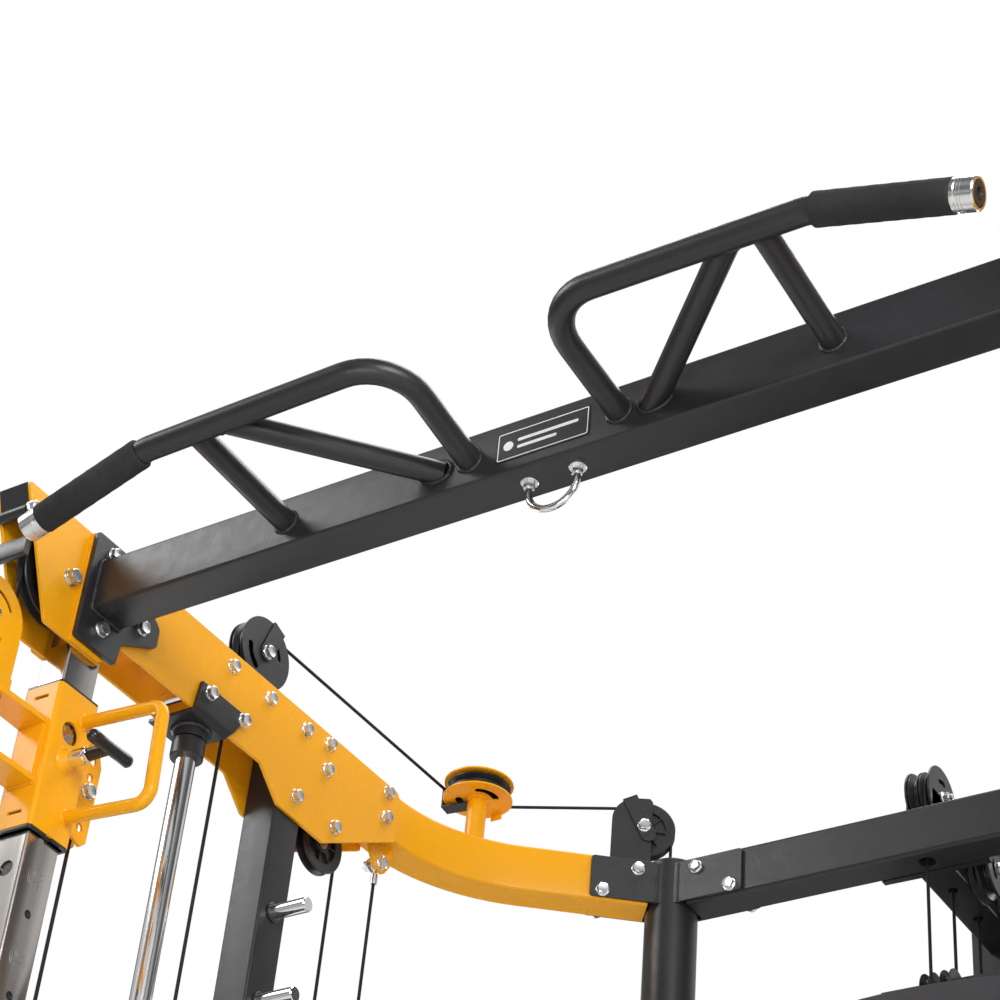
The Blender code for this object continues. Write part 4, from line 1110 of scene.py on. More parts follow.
def column_fork(label, side):
    """Two upright plates round the column pulley, open to the rear."""
    place, ahead = column_axis(label, side)
    out = ahead.cross(Z)
    if out.y > 0:
        out = -out
    base = TOP - place.z - 0.006
    profile = [(-0.053, base), (0.0126, base), (0.0126, 0.048), (0.008, 0.054)]
    for step in range(11):
        turn = math.pi / 2 * (1 + step / 10)
        profile.append((-0.013 + 0.040 * math.cos(turn), 0.014 + 0.040 * math.sin(turn)))
    shapes = []
    right = ahead
    sign = 1 if right.cross(Z).dot(out) > 0 else -1
    for depth in (0.0125, -0.0165):
        low = depth * sign if sign > 0 else -(depth + 0.004)
        shapes.append(flat(profile, low, low + 0.004, right, Z, place))
    return shapes


def column_pulley_strap(label, side):
    """The strap of a column pulley."""
    place, ahead = column_axis(label, side)
    out = ahead.cross(Z)
    if out.y > 0:
        out = -out
    lean = (Z * 0.90 - ahead * 0.43).normalized()
    right = lean.cross(out).normalized()
    half, tail, head = 0.0125, -0.016, 0.060
    outline = [(half, head), (-half, head)]
    for step in range(13):
        turn = math.pi * (1 + step / 12)
        outline.append((half * math.cos(turn), tail + half * math.sin(turn)))
    face = 0.0167
    sign = 1 if right.cross(lean).dot(out) > 0 else -1
    low = face if sign > 0 else -face - 0.003
    shapes = [flat(outline, low, low + 0.003, right, lean, place)]
    fold_low = -0.016 if sign > 0 else -face - 0.003
    fold_high = face + 0.003 if sign > 0 else 0.016
    lip = [(-half, head - 0.003), (half, head - 0.003), (half, head), (-half, head)]
    shapes.append(flat(lip, fold_low, fold_high, right, lean, place))
    piece(f"column_pulley_strap_{label}", shapes, "black", bevel=0.0006)
    heads = [bolt(place + out * (face + 0.003), out, turn=0.2), nut(place - out * 0.0167, -out)]
    piece(f"column_pulley_bolt_{label}", heads, "zinc")


# Pulleys


def wheel(name, node, axis, run, body):
    """A grooved wheel with a ribbed web, and its bearing."""
    centre = middle(node)
    rim = run + RIM
    inner = run - 0.009
    groove = [
        (inner, -0.0072),
        (rim - 0.0012, -0.0088),
        (rim, -0.0078),
        (rim, -0.0064),
        (run + 0.0005, -0.0036),
        (run - 0.0028, -0.0015),
        (run - 0.0028, 0.0015),
        (run + 0.0005, 0.0036),
        (rim, 0.0064),
        (rim, 0.0078),
        (rim - 0.0012, 0.0088),
        (inner, 0.0072),
    ]
    web = [(0.0115, -0.0022), (inner + 0.001, -0.0022), (inner + 0.001, 0.0022), (0.0115, 0.0022)]
    hub = [(0.0112, -0.0085), (0.0162, -0.0085), (0.0168, -0.0078), (0.0168, 0.0078), (0.0162, 0.0085),
           (0.0112, 0.0085)]
    shapes = [turned(profile, centre, axis, 72, True) for profile in (groove, web, hub)]
    axis = Vector(axis).normalized()
    side = axis.orthogonal().normalized()
    other = axis.cross(side)
    for k in range(8):
        turn = math.pi / 4 * k
        spoke = side * math.cos(turn) + other * math.sin(turn)
        outline = [(0.0165, -0.0011), (inner + 0.0005, -0.0011), (inner + 0.0005, 0.0011), (0.0165, 0.0011)]
        shapes.append(flat(outline, -0.0064, 0.0064, spoke, axis.cross(spoke), centre))
    piece(f"{name}_wheel", shapes, "nylon", body, stands_for=[node])
    bearing = [(0.0050, -0.0088), (0.0110, -0.0088), (0.0110, 0.0088), (0.0050, 0.0088)]
    piece(f"{name}_bearing", [turned(bearing, centre, axis, 40, True)], "zinc", body)


def loose_wheel(name, centre, axis, run, body):
    """A wheel that no CAD node stands for."""
    rim = run + RIM
    profile = [
        (0.0052, -0.0085),
        (0.0150, -0.0085),
        (0.0160, -0.0040),
        (run - 0.011, -0.0040),
        (run - 0.009, -0.0078),
        (rim, -0.0078),
        (rim, -0.0064),
        (run - 0.0028, -0.0015),
        (run - 0.0028, 0.0015),
        (rim, 0.0064),
        (rim, 0.0078),
        (run - 0.009, 0.0078),
        (run - 0.011, 0.0040),
        (0.0160, 0.0040),
        (0.0150, 0.0085),
        (0.0052, 0.0085),
    ]
    return piece(name, [turned(profile, centre, axis, 64, True)], "nylon", body)


def top_pulley_guard(label, side):
    """Two guard discs, the bent strap and the bolt of the pulley on top of the head."""
    centre = middle(f"top_pulley_{label}")
    slots = [
        kidney((centre.y, centre.z), 0.031, 0.042, 188, 240),
        kidney((centre.y, centre.z), 0.028, 0.036, 14, 40),
    ]
    shapes = []
    for way, radius in ((-side, 0.057), (side, 0.053)):
        faces = sorted((centre.x + way * 0.0125, centre.x + way * 0.0145))
        disc = flat(circle((centre.y, centre.z), radius, 72), *faces)
        cuts = [flat(slot, centre.x - 0.05, centre.x + 0.05) for slot in slots]
        shapes.append(drilled(disc, cuts))
    lean = Vector((0, 0.34, 0.94)).normalized()
    right = Vector((0, 0.94, -0.34)).normalized()
    inward = -side
    face = 0.0147
    levels = sorted((inward * face, inward * (face + 0.0025)))
    sign = right.cross(lean).x
    levels = levels if sign > 0 else [-levels[1], -levels[0]]
    strap = [(-0.014, 0), (0.014, 0), (0.014, 0.058), (-0.014, 0.058)]
    end = [(0.014 * math.cos(a), 0.014 * math.sin(a))
           for a in (-2.8, -2.35, -1.9, -1.57, -1.2, -0.8, -0.35)]
    outline = [strap[0]] + end + strap[1:]
    shapes.append(flat(outline, *levels, right, lean, centre))
    span = sorted((inward * (face + 0.0025), -inward * face))
    span = span if sign > 0 else [-span[1], -span[0]]
    shapes.append(flat([(-0.014, 0.056), (0.014, 0.056), (0.014, 0.0585), (-0.014, 0.0585)], *span,
                       right, lean, centre))
    stand = [(centre.y - 0.020, TOP - 0.03), (centre.y + 0.024, TOP - 0.03),
             (centre.y + 0.020, centre.z), (centre.y - 0.014, centre.z)]
    faces = sorted((centre.x + side * 0.0145, centre.x + side * 0.0185))
    shapes.append(flat(stand, *faces))
    piece(f"top_pulley_guard_{label}", shapes, "black", bevel=0.0005)
    inward_axis = -side * X
    heads = [bolt(centre + inward_axis * (face + 0.0025), inward_axis, turn=0.5)]
    piece(f"top_pulley_bolt_{label}", heads, "zinc")


# Carriage


def carriage_arm(side, z, front, axis_y):
    """One level arm with a round nose, bored for the swivel, and its two weld seams."""
    x = side * TOWER
    nose_r = 0.021
    outline = [(x - 0.024, front + 0.001), (x + 0.024, front + 0.001)]
    outline += [(x + nose_r * math.cos(a / 12 * math.pi), axis_y - nose_r * math.sin(a / 12 * math.pi))
                for a in range(13)]
    bore = rod((x, axis_y, z - 0.02), (x, axis_y, z + 0.02), 0.0128, 40)
    arm = drilled(level_plate(outline, z - 0.004, z + 0.004), [bore])
    seams = []
    for up in (-1, 1):
        seam = [Vector((x - 0.022 + i * 0.0022, front - 0.0008, z + up * 0.0046)) for i in range(21)]
        seams.append(bead(seam, 0.0022, False))
    return arm, seams


def carriage_bracket(side, rear, cable_y):
    """The two drilled cheeks behind the sleeve, which hold the end of the cable."""
    x = side * TOWER
    outline = [
        (rear - 0.001, 1.790),
        (rear + 0.036, 1.776),
        (rear + 0.046, 1.786),
        (rear + 0.046, 1.900),
        (rear + 0.030, 1.935),
        (rear - 0.001, 1.935),
    ]
    holes = []
    for z in (1.802, 1.877, 1.902):
        holes.append(rod((x - 0.05, cable_y, z), (x + 0.05, cable_y, z), 0.006, 24))
    cheeks = []
    for start in (x - 0.012, x + 0.008):
        cheeks.append(drilled(flat(softened(outline, 0.006), start, start + 0.004), [joined(holes)]))
    return cheeks


def column_clearance(side, start, end):
    """What a liner is bored with: the column and a thin gap, past both ends of the liner."""
    half_x, half_y = COLUMN_HALF
    outline = rounded(2 * half_x + LINER_GAP, 2 * half_y + LINER_GAP, 0.004, (side * TOWER, COLUMN_Y))
    return level_plate(outline, start - 0.05, end + 0.05)


def inner_liners(side, low, high, half_x, half_y):
    """The nylon liners inside both ends of the sleeve."""
    liners = []
    for start, end in ((high - 0.020, high + 0.0035), (low - 0.0035, low + 0.020)):
        outer = rounded(2 * half_x - 0.0095, 2 * half_y - 0.0095, 0.003, (side * TOWER, COLUMN_Y))
        liners.append(drilled(level_plate(outer, start, end), [column_clearance(side, start, end)]))
    return liners


def end_liners(side, low, high, half_x, half_y):
    """The flanges of the liners. The lower one has a notch on the column's inner side."""
    liners = []
    inner = TOWER - half_x
    for start, end in ((high + 0.0002, high + 0.0035), (low - 0.0035, low - 0.0002)):
        outer = rounded(2 * half_x - 0.001, 2 * half_y - 0.001, 0.005, (side * TOWER, COLUMN_Y))
        cut = [column_clearance(side, start, end)]
        if end < low:
            cut.append(rod(at(side, inner - 0.01, COLUMN_Y, low - 0.002),
                           at(side, inner + 0.009, COLUMN_Y, low - 0.002), 0.006, 24))
        liners.append(drilled(level_plate(outer, start, end), cut))
    return liners


def carriage(label, side):
    """The sliding sleeve with its handle, boss, arms and cable bracket."""
    body = f"carriage_{label}"
    low, high = 1.748, 1.962
    half_x, half_y = 0.032, 0.038
    inner = TOWER - half_x
    front, rear = COLUMN_Y - half_y, COLUMN_Y + half_y
    sleeve = level_plate(rounded(2 * half_x, 2 * half_y, 0.006, (side * TOWER, COLUMN_Y), 6), low, high)
    bore = rounded(2 * half_x - 0.009, 2 * half_y - 0.009, 0.003, (side * TOWER, COLUMN_Y))
    hole = (-0.626, 1.899)
    cuts = [
        level_plate(bore, low - 0.05, high + 0.05),
        rod(at(side, inner - 0.01, *hole), at(side, inner + 0.01, *hole), 0.016, 48),
    ]
    for z in (low + 0.022, high - 0.018):
        cuts.append(brick((side * TOWER - 0.012, front - 0.01, z - 0.0023),
                          (side * TOWER + 0.012, front + 0.0052, z + 0.0023)))
    shapes = [drilled(sleeve, cuts)]
    handle = [(inner + 0.003, -0.606, 1.928), (0.580, -0.606, 1.918), (0.575, -0.604, 1.773),
              (inner + 0.003, -0.603, 1.786)]
    handle = [out_to(side, p) for p in handle]
    shapes.append(tube(filleted(handle, 0.020), 0.009, 28))
    welds = []
    for start, after in ((handle[0], handle[1]), (handle[3], handle[2])):
        welds.append(weld_round(start, after - start, 0.009, (side * inner, 0, 0), X, 0.0026, 40))
    pin = at(side, 0, COLUMN_Y, PIN_TOP)
    boss = [(0.0195, 0), (0.0170, 0.0016), (0.0145, 0.0050), (0.0132, 0.0095), (0.0122, 0.0105),
            (0.0075, 0.0105)]
    boss = turned(boss + [(0.0075, 0)], pin + X * side * inner, -side * X, 48, True)
    shapes.append(boss)
    axis_y = next(j for j in frame["joints"] if j["name"] == f"swivel_{label}_turn")["pos_m"][1]
    arms = (1.813, 1.900)
    for z in arms:
        arm, seams = carriage_arm(side, z, front, axis_y)
        shapes.append(arm)
        welds += seams
    shapes.append(brick((side * TOWER - 0.021, front - 0.006, arms[0] - 0.003),
                        (side * TOWER + 0.021, front + 0.001, arms[1] + 0.003)))
    cable_y = middle(f"carriage_cable_{label}").y
    shapes += carriage_bracket(side, rear, cable_y)
    piece(f"{body}_visual", shapes + welds, "yellow", body, bevel=0.0006, stands_for=[body])
    place = at(side, TOWER - 0.012, cable_y, 1.855)
    heads = [bolt(place, -side * X, turn=0.4), nut(place + side * X * 0.024, side * X)]
    piece(f"carriage_bolt_{label}", heads, "zinc", body)
    liners = inner_liners(side, low, high, half_x, half_y)
    liners += end_liners(side, low, high, half_x, half_y)
    piece(f"carriage_liners_{label}", liners, "nylon", body)
    chrome = [(0.0070, 0.008), (0.0112, 0.008), (0.0112, 0.0330), (0.0098, 0.0345), (0.0098, 0.0385)]
    chrome += [(0.0090, 0.0392), (0.0070, 0.0392)]
    piece(f"pin_sleeve_{label}", [turned(chrome, pin + X * side * inner, -side * X, 40, True)],
          "chrome", body)


def pop_pin(label, side):
    """The T handle: a dipped cross bar, its neck and the steel pin."""
    body = f"pop_pin_{label}"
    bar = at(side, 0.642, COLUMN_Y, PIN_TOP)
    half = 0.0415
    path, radii = [], []
    for i in range(17):
        share = -1 + 2 * i / 16
        path.append(bar + Y * share * (half - 0.009))
        radii.append(0.0092 - 0.0008 * (1 - share * share))
    for sign in (-1, 1):
        cap = []
        for i in range(1, 6):
            turn = math.pi / 2 * i / 6
            cap.append((bar + Y * sign * (half - 0.009 + 0.009 * math.sin(turn)), 0.0092 * math.cos(turn)))
        if sign > 0:
            path += [p for p, r in cap]
            radii += [r for p, r in cap]
        else:
            path = [p for p, r in reversed(cap)] + path
            radii = [r for p, r in reversed(cap)] + radii
    neck = tube([bar, bar + X * side * 0.006, bar + X * side * 0.032], [0.0088, 0.0084, 0.0086], 32)
    piece(f"{body}_visual", [tube(path, radii, 32), neck], "rubber", body, stands_for=[body], sharp=70)
    steel = rod(bar + X * side * 0.02, at(side, TOWER - 0.012, COLUMN_Y, PIN_TOP), 0.0050, 24, 0.0008)
    piece(f"pop_pin_steel_{label}", [steel], "zinc", body)


def swivel(label, side):
    """The hollow pivot with slotted guard discs above and below, and both guide pulleys."""
    body = f"swivel_{label}"
    centre = middle(f"swivel_pulley_{label}")
    joint = next(j for j in frame["joints"] if j["name"] == f"swivel_{label}_turn")
    axis_y, mid = joint["pos_m"][1], joint["pos_m"][2]
    x = side * TOWER
    rise = centre.z - mid
    pivot = turned([(0.0066, -0.056), (0.0122, -0.056), (0.0122, 0.056), (0.0066, 0.056)],
                   (x, axis_y, mid), Z, 40, True)
    shapes, bolts = [pivot], []
    for up in (-1, 1):
        near = mid + up * 0.0480
        ends = sorted((near, near + up * 0.018))
        block_low, block_high = (x - 0.0165, axis_y - 0.014, ends[0]), (x + 0.0165, axis_y + 0.014, ends[1])
        bore = rod((x, axis_y, mid - 0.1), (x, axis_y, mid + 0.1), 0.0066, 24)
        shapes.append(drilled(brick(block_low, block_high), [bore]))
        disc_z = mid + up * rise
        for face in (-1, 1):
            faces = sorted((x + face * 0.0135, x + face * 0.0165))
            cuts = []
            for start in (35, 155, 275):
                slot = kidney((centre.y, disc_z), 0.035, 0.040, start, start + 46)
                cuts.append(flat(slot, x - 0.05, x + 0.05))
            disc = flat(circle((centre.y, disc_z), 0.058, 72), *faces)
            shapes.append(drilled(disc, cuts))
            web = sorted((near, mid + up * (rise - 0.010)))
            web_outline = [(axis_y - 0.020, web[0]), (axis_y + 0.0115, web[0]),
                           (axis_y + 0.0115, web[1]), (axis_y - 0.020, web[1])]
            shapes.append(flat(web_outline, faces[0] + 0.0003, faces[1] - 0.0003))
            bolts.append((bolt if face == -side else nut)(Vector((x + face * 0.0165, centre.y, disc_z)),
                                                          face * X))
    piece(f"{body}_visual", shapes, "yellow", body, bevel=0.0005, stands_for=[f"swivel_yoke_{label}"])
    piece(f"swivel_bolts_{label}", bolts, "zinc", body)
    wheel(f"swivel_pulley_{label}", f"swivel_pulley_{label}", X, 0.047, f"swivel_pulley_{label}")
    loose_wheel(f"lower_swivel_pulley_{label}", Vector((x, centre.y, mid - rise)), X, 0.047, body)


# Smith bar, floor and stack


def smith_bar():
    """The bar with knurled bands, collars and sleeves in chrome, and its black latch hooks."""
    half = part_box("smith_bar")[1].x
    place = Vector((0, middle("bar_slider_right").y, middle("bar_slider_right").z))
    bar_r, sleeve_r, collar_r = 0.014, 0.025, 0.036
    inner, outer = 0.828, 0.842
    profile = [(0, -outer), (bar_r, -outer)]
    for band in ((-0.60, -0.20), (-0.06, 0.06), (0.20, 0.60)):
        start, end = band
        profile += [(bar_r, start), (bar_r - 0.0006, start + 0.0008)]
        profile += [(bar_r - 0.0006, start + 0.003), (bar_r, start + 0.0038)]
        profile += [(bar_r, end - 0.0038), (bar_r - 0.0006, end - 0.003)]
        profile += [(bar_r - 0.0006, end - 0.0008), (bar_r, end)]
    profile += [(bar_r, outer), (0, outer)]
    chrome = [turned(profile, place, X, 40)]
    bands = []
    for start, end in ((-0.596, -0.204), (-0.056, 0.056), (0.204, 0.596)):
        rings = [(bar_r - 0.0004, start), (bar_r + 0.00015, start), (bar_r + 0.00015, end),
                 (bar_r - 0.0004, end)]
        bands.append(turned(rings, place, X, 40, True))
    hooks = []
    for side in SIDES.values():
        sleeve = [(0, outer - 0.002), (sleeve_r, outer - 0.002), (sleeve_r, half - 0.003)]
        sleeve += [(sleeve_r - 0.003, half), (0.012, half), (0.011, half - 0.002), (0, half - 0.002)]
        chrome.append(turned(sleeve, place, side * X, 48))
        collar = [(bar_r - 0.001, inner), (collar_r - 0.002, inner), (collar_r, inner + 0.002)]
        collar += [(collar_r, outer - 0.002), (collar_r - 0.002, outer), (bar_r - 0.001, outer)]
        chrome.append(turned(collar, place, side * X, 48, True))
        boss = [(bar_r - 0.001, 0.664), (0.0195, 0.664), (0.021, 0.6655), (0.021, 0.7025)]
        boss += [(0.0195, 0.704), (bar_r - 0.001, 0.704)]
        hooks.append(turned(boss, place, side * X, 40, True))
        outline = [
            (-0.022, 0.010),
            (0.012, 0.026),
            (0.150, 0.026),
            (0.190, 0.012),
            (0.204, -0.020),
            (0.186, -0.020),
            (0.174, -0.002),
            (0.140, 0.004),
            (0.022, -0.022),
            (-0.014, -0.022),
        ]
        outline = softened([(place.y + y, place.z + z) for y, z in outline], 0.005)
        hooks.append(flat(outline, *sorted((side * 0.678, side * 0.690))))
    piece("smith_bar_visual", chrome, "chrome", "smith_bar", stands_for=["smith_bar"])
    piece("smith_bar_knurl", bands, "knurl", "smith_bar")
    piece("smith_bar_hooks", hooks, "black", "smith_bar", bevel=0.0008)


def slider_details(label, side):
    """The slider's bearing rings and bolts."""
    body = body_of(f"bar_slider_{label}")
    low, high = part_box(f"bar_slider_{label}")
    rings = []
    for z, way in ((low.z, -1), (high.z, 1)):
        ring = [(0.0155, 0), (0.026, 0), (0.026, 0.0012), (0.0245, 0.002), (0.0155, 0.002)]
        rings.append(turned(ring, (side * TOWER, ROD_Y, z), Z * way, 48, True))
    piece(f"slider_bearings_{label}", rings, "nylon", body)
    heads = []
    for z in (low.z + 0.018, high.z - 0.018):
        heads.append(bolt((side * TOWER, high.y, z), Y, across=0.013, big=0.8))
    piece(f"slider_bolts_{label}", heads, "zinc", body)


def base_details(label, side):
    """The rail's end cap and floor bolts."""
    low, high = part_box(f"base_rail_{label}")
    top = high.z
    cap = rounded(TUBE_W - 0.001, top - 0.001, 0.005, (side * TOWER, top / 2), 4)
    shapes = [cross_plate(cap, low.y - 0.0022, low.y + 0.004)]
    inner = rounded(TUBE_W - 0.012, top - 0.012, 0.004, (side * TOWER, top / 2), 4)
    shapes.append(cross_plate(inner, low.y - 0.0034, low.y))
    piece(f"rail_cap_{label}", shapes, "nylon")
    heads = []
    for y in (COLUMN_Y - 0.040, COLUMN_Y + 0.040):
        heads.append(bolt((side * TOWER, y, COLUMN_LOW + 0.008), Z, across=0.013, big=0.8, turn=y))
    piece(f"foot_bolts_{label}", heads, "zinc")


def stack_details():
    """Number tags on the weight plates."""
    for node, body in (("resting_weights", "frame"), ("lifted_weights", body_of("lifted_weights"))):
        low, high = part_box(node)
        count = round((high.z - low.z) / PLATE_PITCH)
        marks = []
        for plate in range(count):
            z = low.z + PLATE_PITCH * (plate + 0.5)
            tag = rounded(0.022, 0.010, 0.002, (0.075, z), 3)
            marks.append(cross_plate(tag, high.y - 0.001, high.y + 0.0006))
        piece(f"{node}_tags", marks, "white", body)


# Cables


def straight(start, end, count):
    """Points from start to end, without the end."""
    return [start.lerp(end, i / count) for i in range(count)]


def cable_piece(name, route, node):
    """A cable along a route, which stands for its CAD node."""
    return piece(name, [tube(route, CABLE_R, 16)], "cable", stands_for=[node], sharp=70)


def upper_tangent(first, first_r, second, second_r):
    """The angle, from +Y towards +Z, at which a line over both pulleys leaves them."""
    gap = second - first
    heading = math.atan2(gap.z, gap.y)
    lean = math.asin((second_r - first_r) / gap.length)
    return math.degrees(heading - math.pi / 2 - lean)


def front_cable(label, side):
    """The cable from the lug, round the floating pulley and over the plate and head pulleys."""
    plate_pulley, head_pulley = middle(f"plate_pulley_{label}"), middle(f"head_pulley_{label}")
    plate_r, head_r = RUNS["plate"], RUNS["head"]
    near_y, rear_y = plate_pulley.y + plate_r, 0.089
    float_r = (rear_y - near_y) / 2
    centre = Vector((side * TOWER, near_y + float_r, FLOAT_Z))
    leave = upper_tangent(plate_pulley, plate_r, head_pulley, head_r) % 360
    route = straight(Vector((side * TOWER, rear_y, 2.054)), centre + Y * float_r, 24)
    route += arc(centre, float_r, 0, -180, Y, Z, 24)
    route += straight(centre - Y * float_r, plate_pulley + Y * plate_r, 24)[1:]
    route += arc(plate_pulley, plate_r, 0, leave, Y, Z, 20)
    route += arc(head_pulley, head_r, leave, 180, Y, Z, 24)
    bottom = Vector((side * TOWER, head_pulley.y - head_r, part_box(f"front_cable_{label}")[0].z))
    route += straight(Vector((bottom.x, bottom.y, head_pulley.z - 0.03)), bottom, 30) + [bottom]
    cable_piece(f"front_cable_{label}_visual", route, f"front_cable_{label}")
    loose_wheel(f"floating_pulley_{label}", centre, X, float_r, "frame")
    holder = []
    for face in (-1, 1):
        faces = sorted((centre.x + face * 0.0125, centre.x + face * 0.0155))
        strap = [(centre.y - 0.014, centre.z - 0.115), (centre.y + 0.014, centre.z - 0.115)]
        strap += [(centre.y + 0.014 * math.cos(a / 8 * math.pi),
                   centre.z + 0.014 * math.sin(a / 8 * math.pi)) for a in range(9)]
        holder.append(flat(strap, *faces))
    base = centre - Z * 0.115
    holder.append(brick((base.x - 0.0155, base.y - 0.014, base.z),
                        (base.x + 0.0155, base.y + 0.014, base.z + 0.004)))
    piece(f"floating_pulley_strap_{label}", holder, "black", bevel=0.0006)
    heads = [bolt(centre - X * side * 0.0155, -side * X), nut(centre + X * side * 0.0155, side * X)]
    link = rod(base, Vector((base.x, base.y, 0.078)), 0.004, 16)
    piece(f"floating_pulley_bolt_{label}", heads + [link], "zinc")
    eye = at(side, TOWER, *LUG_BOLT)
    foot = at(side, TOWER, rear_y, 2.052)
    ferrule = rod(foot, foot + Z * 0.018, 0.0054, 24, 0.0008)
    loop = [foot + Z * 0.016] + arc(eye, 0.0085, 330, -150, Y, Z, 24) + [foot + Z * 0.016]
    piece(f"cable_ferrule_{label}", [ferrule, tube(loop, 0.0026, 12)], "zinc")


def upper_cable(label, side):
    """The cable that runs over the top pulley to the flat pulley and the column pulley."""
    top = middle(f"top_pulley_{label}")
    flat_pulley = middle(f"flat_pulley_{label}")
    place, ahead = column_axis(label, side)
    top_r, flat_r, column_r = RUNS["top"], RUNS["flat"], RUNS["column"]
    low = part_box(f"upper_cable_{label}")[0].z
    route = straight(Vector((top.x, top.y - top_r, low)), top - Y * top_r, 40)
    slope = math.degrees(math.atan2(flat_pulley.z - top.z - top_r, 0.54))
    route += arc(top, top_r, 180, 90 + slope, Y, Z, 20)

    def touch(point):
        away = point - flat_pulley
        heading = math.atan2(away.y, away.x * side)
        lean = math.acos(flat_r / math.hypot(away.x, away.y))
        choices = (heading + lean, heading - lean)
        return math.degrees(max(choices, key=lambda turn: math.cos(turn - math.radians(25))))

    route += arc(flat_pulley, flat_r, touch(route[-1]), touch(place), X * side, Y, 12)
    dip = math.degrees(math.atan2(flat_pulley.z - place.z - column_r, (place - route[-1]).length))
    route += arc(place, column_r, 90 + dip, 0, ahead, Z, 20)
    down = place + ahead * column_r
    route += straight(down - Z * 0.02, Vector((down.x, down.y, 0.16)), 30)
    cable_piece(f"upper_cable_{label}_visual", route, f"upper_cable_{label}")


def carriage_cable(label):
    """The cable under a carriage, which shortens as the carriage goes down."""
    low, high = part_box(f"carriage_cable_{label}")
    place = middle(f"carriage_cable_{label}")
    route = straight(Vector((place.x, place.y, high.z)), Vector((place.x, place.y, low.z)), 30)
    made = cable_piece(f"carriage_cable_{label}_visual", route + [Vector((place.x, place.y, low.z))],
                       f"carriage_cable_{label}")
    made.parent = None
    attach(made, "frame")
    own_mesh(made)


def stack_cables():
    """The cables above the weight stack."""
    low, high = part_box("stack_cable")
    place = middle("stack_cable")
    run = (high.y - low.y) / 2 - CABLE_R
    centre = Vector((0, place.y, low.z + run + CABLE_R))
    front, rear = Vector((0, place.y - run, high.z)), Vector((0, place.y + run, high.z))
    route = straight(front, centre - Y * run, 24) + arc(centre, run, 180, 360, Y, Z, 24)
    route += straight(centre + Y * run, rear, 24)[1:] + [rear]
    made = cable_piece("stack_cable_visual", route, "stack_cable")
    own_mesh(made)
    loose_wheel("stack_pulley", centre, X, run, "lifted_weights")
    low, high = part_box("centre_cable")
    run = (high.y - low.y) / 2 - CABLE_R
    wheel_place = Vector((0, (high.y + low.y) / 2, high.z - run - CABLE_R))
    start = Vector((0, low.y + CABLE_R, low.z))
    route = straight(start, wheel_place - Y * run, 40) + arc(wheel_place, run, 180, 0, Y, Z, 24)
    route.append(wheel_place + Y * run - Z * 0.048)
    cable_piece("centre_cable_visual", route, "centre_cable")
    return wheel_place, run


def centre_pulleys(place, run):
    """The double pulley on the rear top tube with its slotted guards."""
    pitch = 0.0185
    for name, x in (("inner", 0), ("outer", -pitch)):
        loose_wheel(f"centre_pulley_{name}", place + X * x, X, run, "frame")
    shapes = []
    for x, radius in ((0.0095, run + 0.013), (-pitch - 0.0125, run + 0.009)):
        disc = flat(circle((place.y, place.z), radius, 72), x, x + 0.003)
        slot = kidney((place.y, place.z), 0.024, 0.033, 78, 112)
        stand = [
            (place.y - 0.046, TOP - 0.001),
            (place.y - 0.012, TOP - 0.001),
            (place.y + 0.004, place.z),
            (place.y - 0.040, place.z),
        ]
        shapes += [drilled(disc, [flat(slot, x - 0.01, x + 0.01)]), flat(stand, x, x + 0.003)]
    piece("centre_pulley_guards", shapes, "black", bevel=0.0005)
    heads = [nut(place + X * 0.0125, X, turn=0.3, stub=0.006), bolt(place - X * (pitch + 0.0125), -X)]
    piece("centre_pulley_bolt", heads, "zinc")


def stack_head():
    """Pulleys beside the stack beam and at the top of the stack, with their slotted guards."""
    beam_side = TUBE_W / 2
    guards, bolts = [], []
    for number, y in enumerate((0.600, 0.715)):
        place = Vector((beam_side + 0.022, y, TOP - 0.042))
        loose_wheel(f"beam_pulley_{number}", place, X, 0.038, "frame")
        for x in (beam_side + 0.0005, beam_side + 0.033):
            disc = flat(circle((place.y, place.z), 0.050, 64), x, x + 0.003)
            cuts = []
            for start in (60, 180, 300):
                slot = kidney((place.y, place.z), 0.022, 0.032, start, start + 50)
                cuts.append(flat(slot, x - 0.01, x + 0.01))
            guards.append(drilled(disc, cuts))
        bolts.append(bolt(place + X * 0.014, X, turn=0.3 + number))
    hanger_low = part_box("stack_top_beam")[0].z
    for number, x in enumerate((-0.028, 0.004)):
        place = Vector((x, 0.545, hanger_low - 0.022))
        loose_wheel(f"stack_guide_pulley_{number}", place, X, 0.026, "frame")
        arm = [(0.530, place.z + 0.008), (0.530, place.z - 0.010), (0.600, place.z + 0.010),
               (0.600, hanger_low)]
        guards.append(flat(arm[::-1], x + 0.0125, x + 0.0155))
    piece("stack_pulley_guards", guards, "black", bevel=0.0005)
    piece("stack_pulley_bolts", bolts, "zinc")


# Stage


def add_camera():
    """The camera low in front and to the right, looking up at the left tower's head."""
    data = bpy.data.cameras.new("camera")
    data.lens = 86.38
    data.sensor_width = 36
    data.clip_start = 0.05
    right = Vector((0.8457, 0.5276, 0.0806))
    up = Vector((0.2722, -0.5563, 0.7851))
    back = right.cross(up)
    turn = Matrix((right, up, back)).transposed().to_4x4()
    made = bpy.data.objects.new("camera", data)
    made.matrix_world = Matrix.Translation((1.268, -2.5, 0.27)) @ turn
    bpy.context.scene.collection.objects.link(made)
    bpy.context.scene.camera = made


def area_light(name, place, target, size, power, tint=(1, 1, 1)):
    """A rectangular lamp aimed at a target."""
    data = bpy.data.lights.new(name, "AREA")
    data.shape = "RECTANGLE"
    data.size, data.size_y = size
    data.energy = power
    data.color = tint
    made = bpy.data.objects.new(name, data)
    made.location = place
    made.rotation_euler = (Vector(target) - Vector(place)).to_track_quat("-Z", "Y").to_euler()
    bpy.context.scene.collection.objects.link(made)


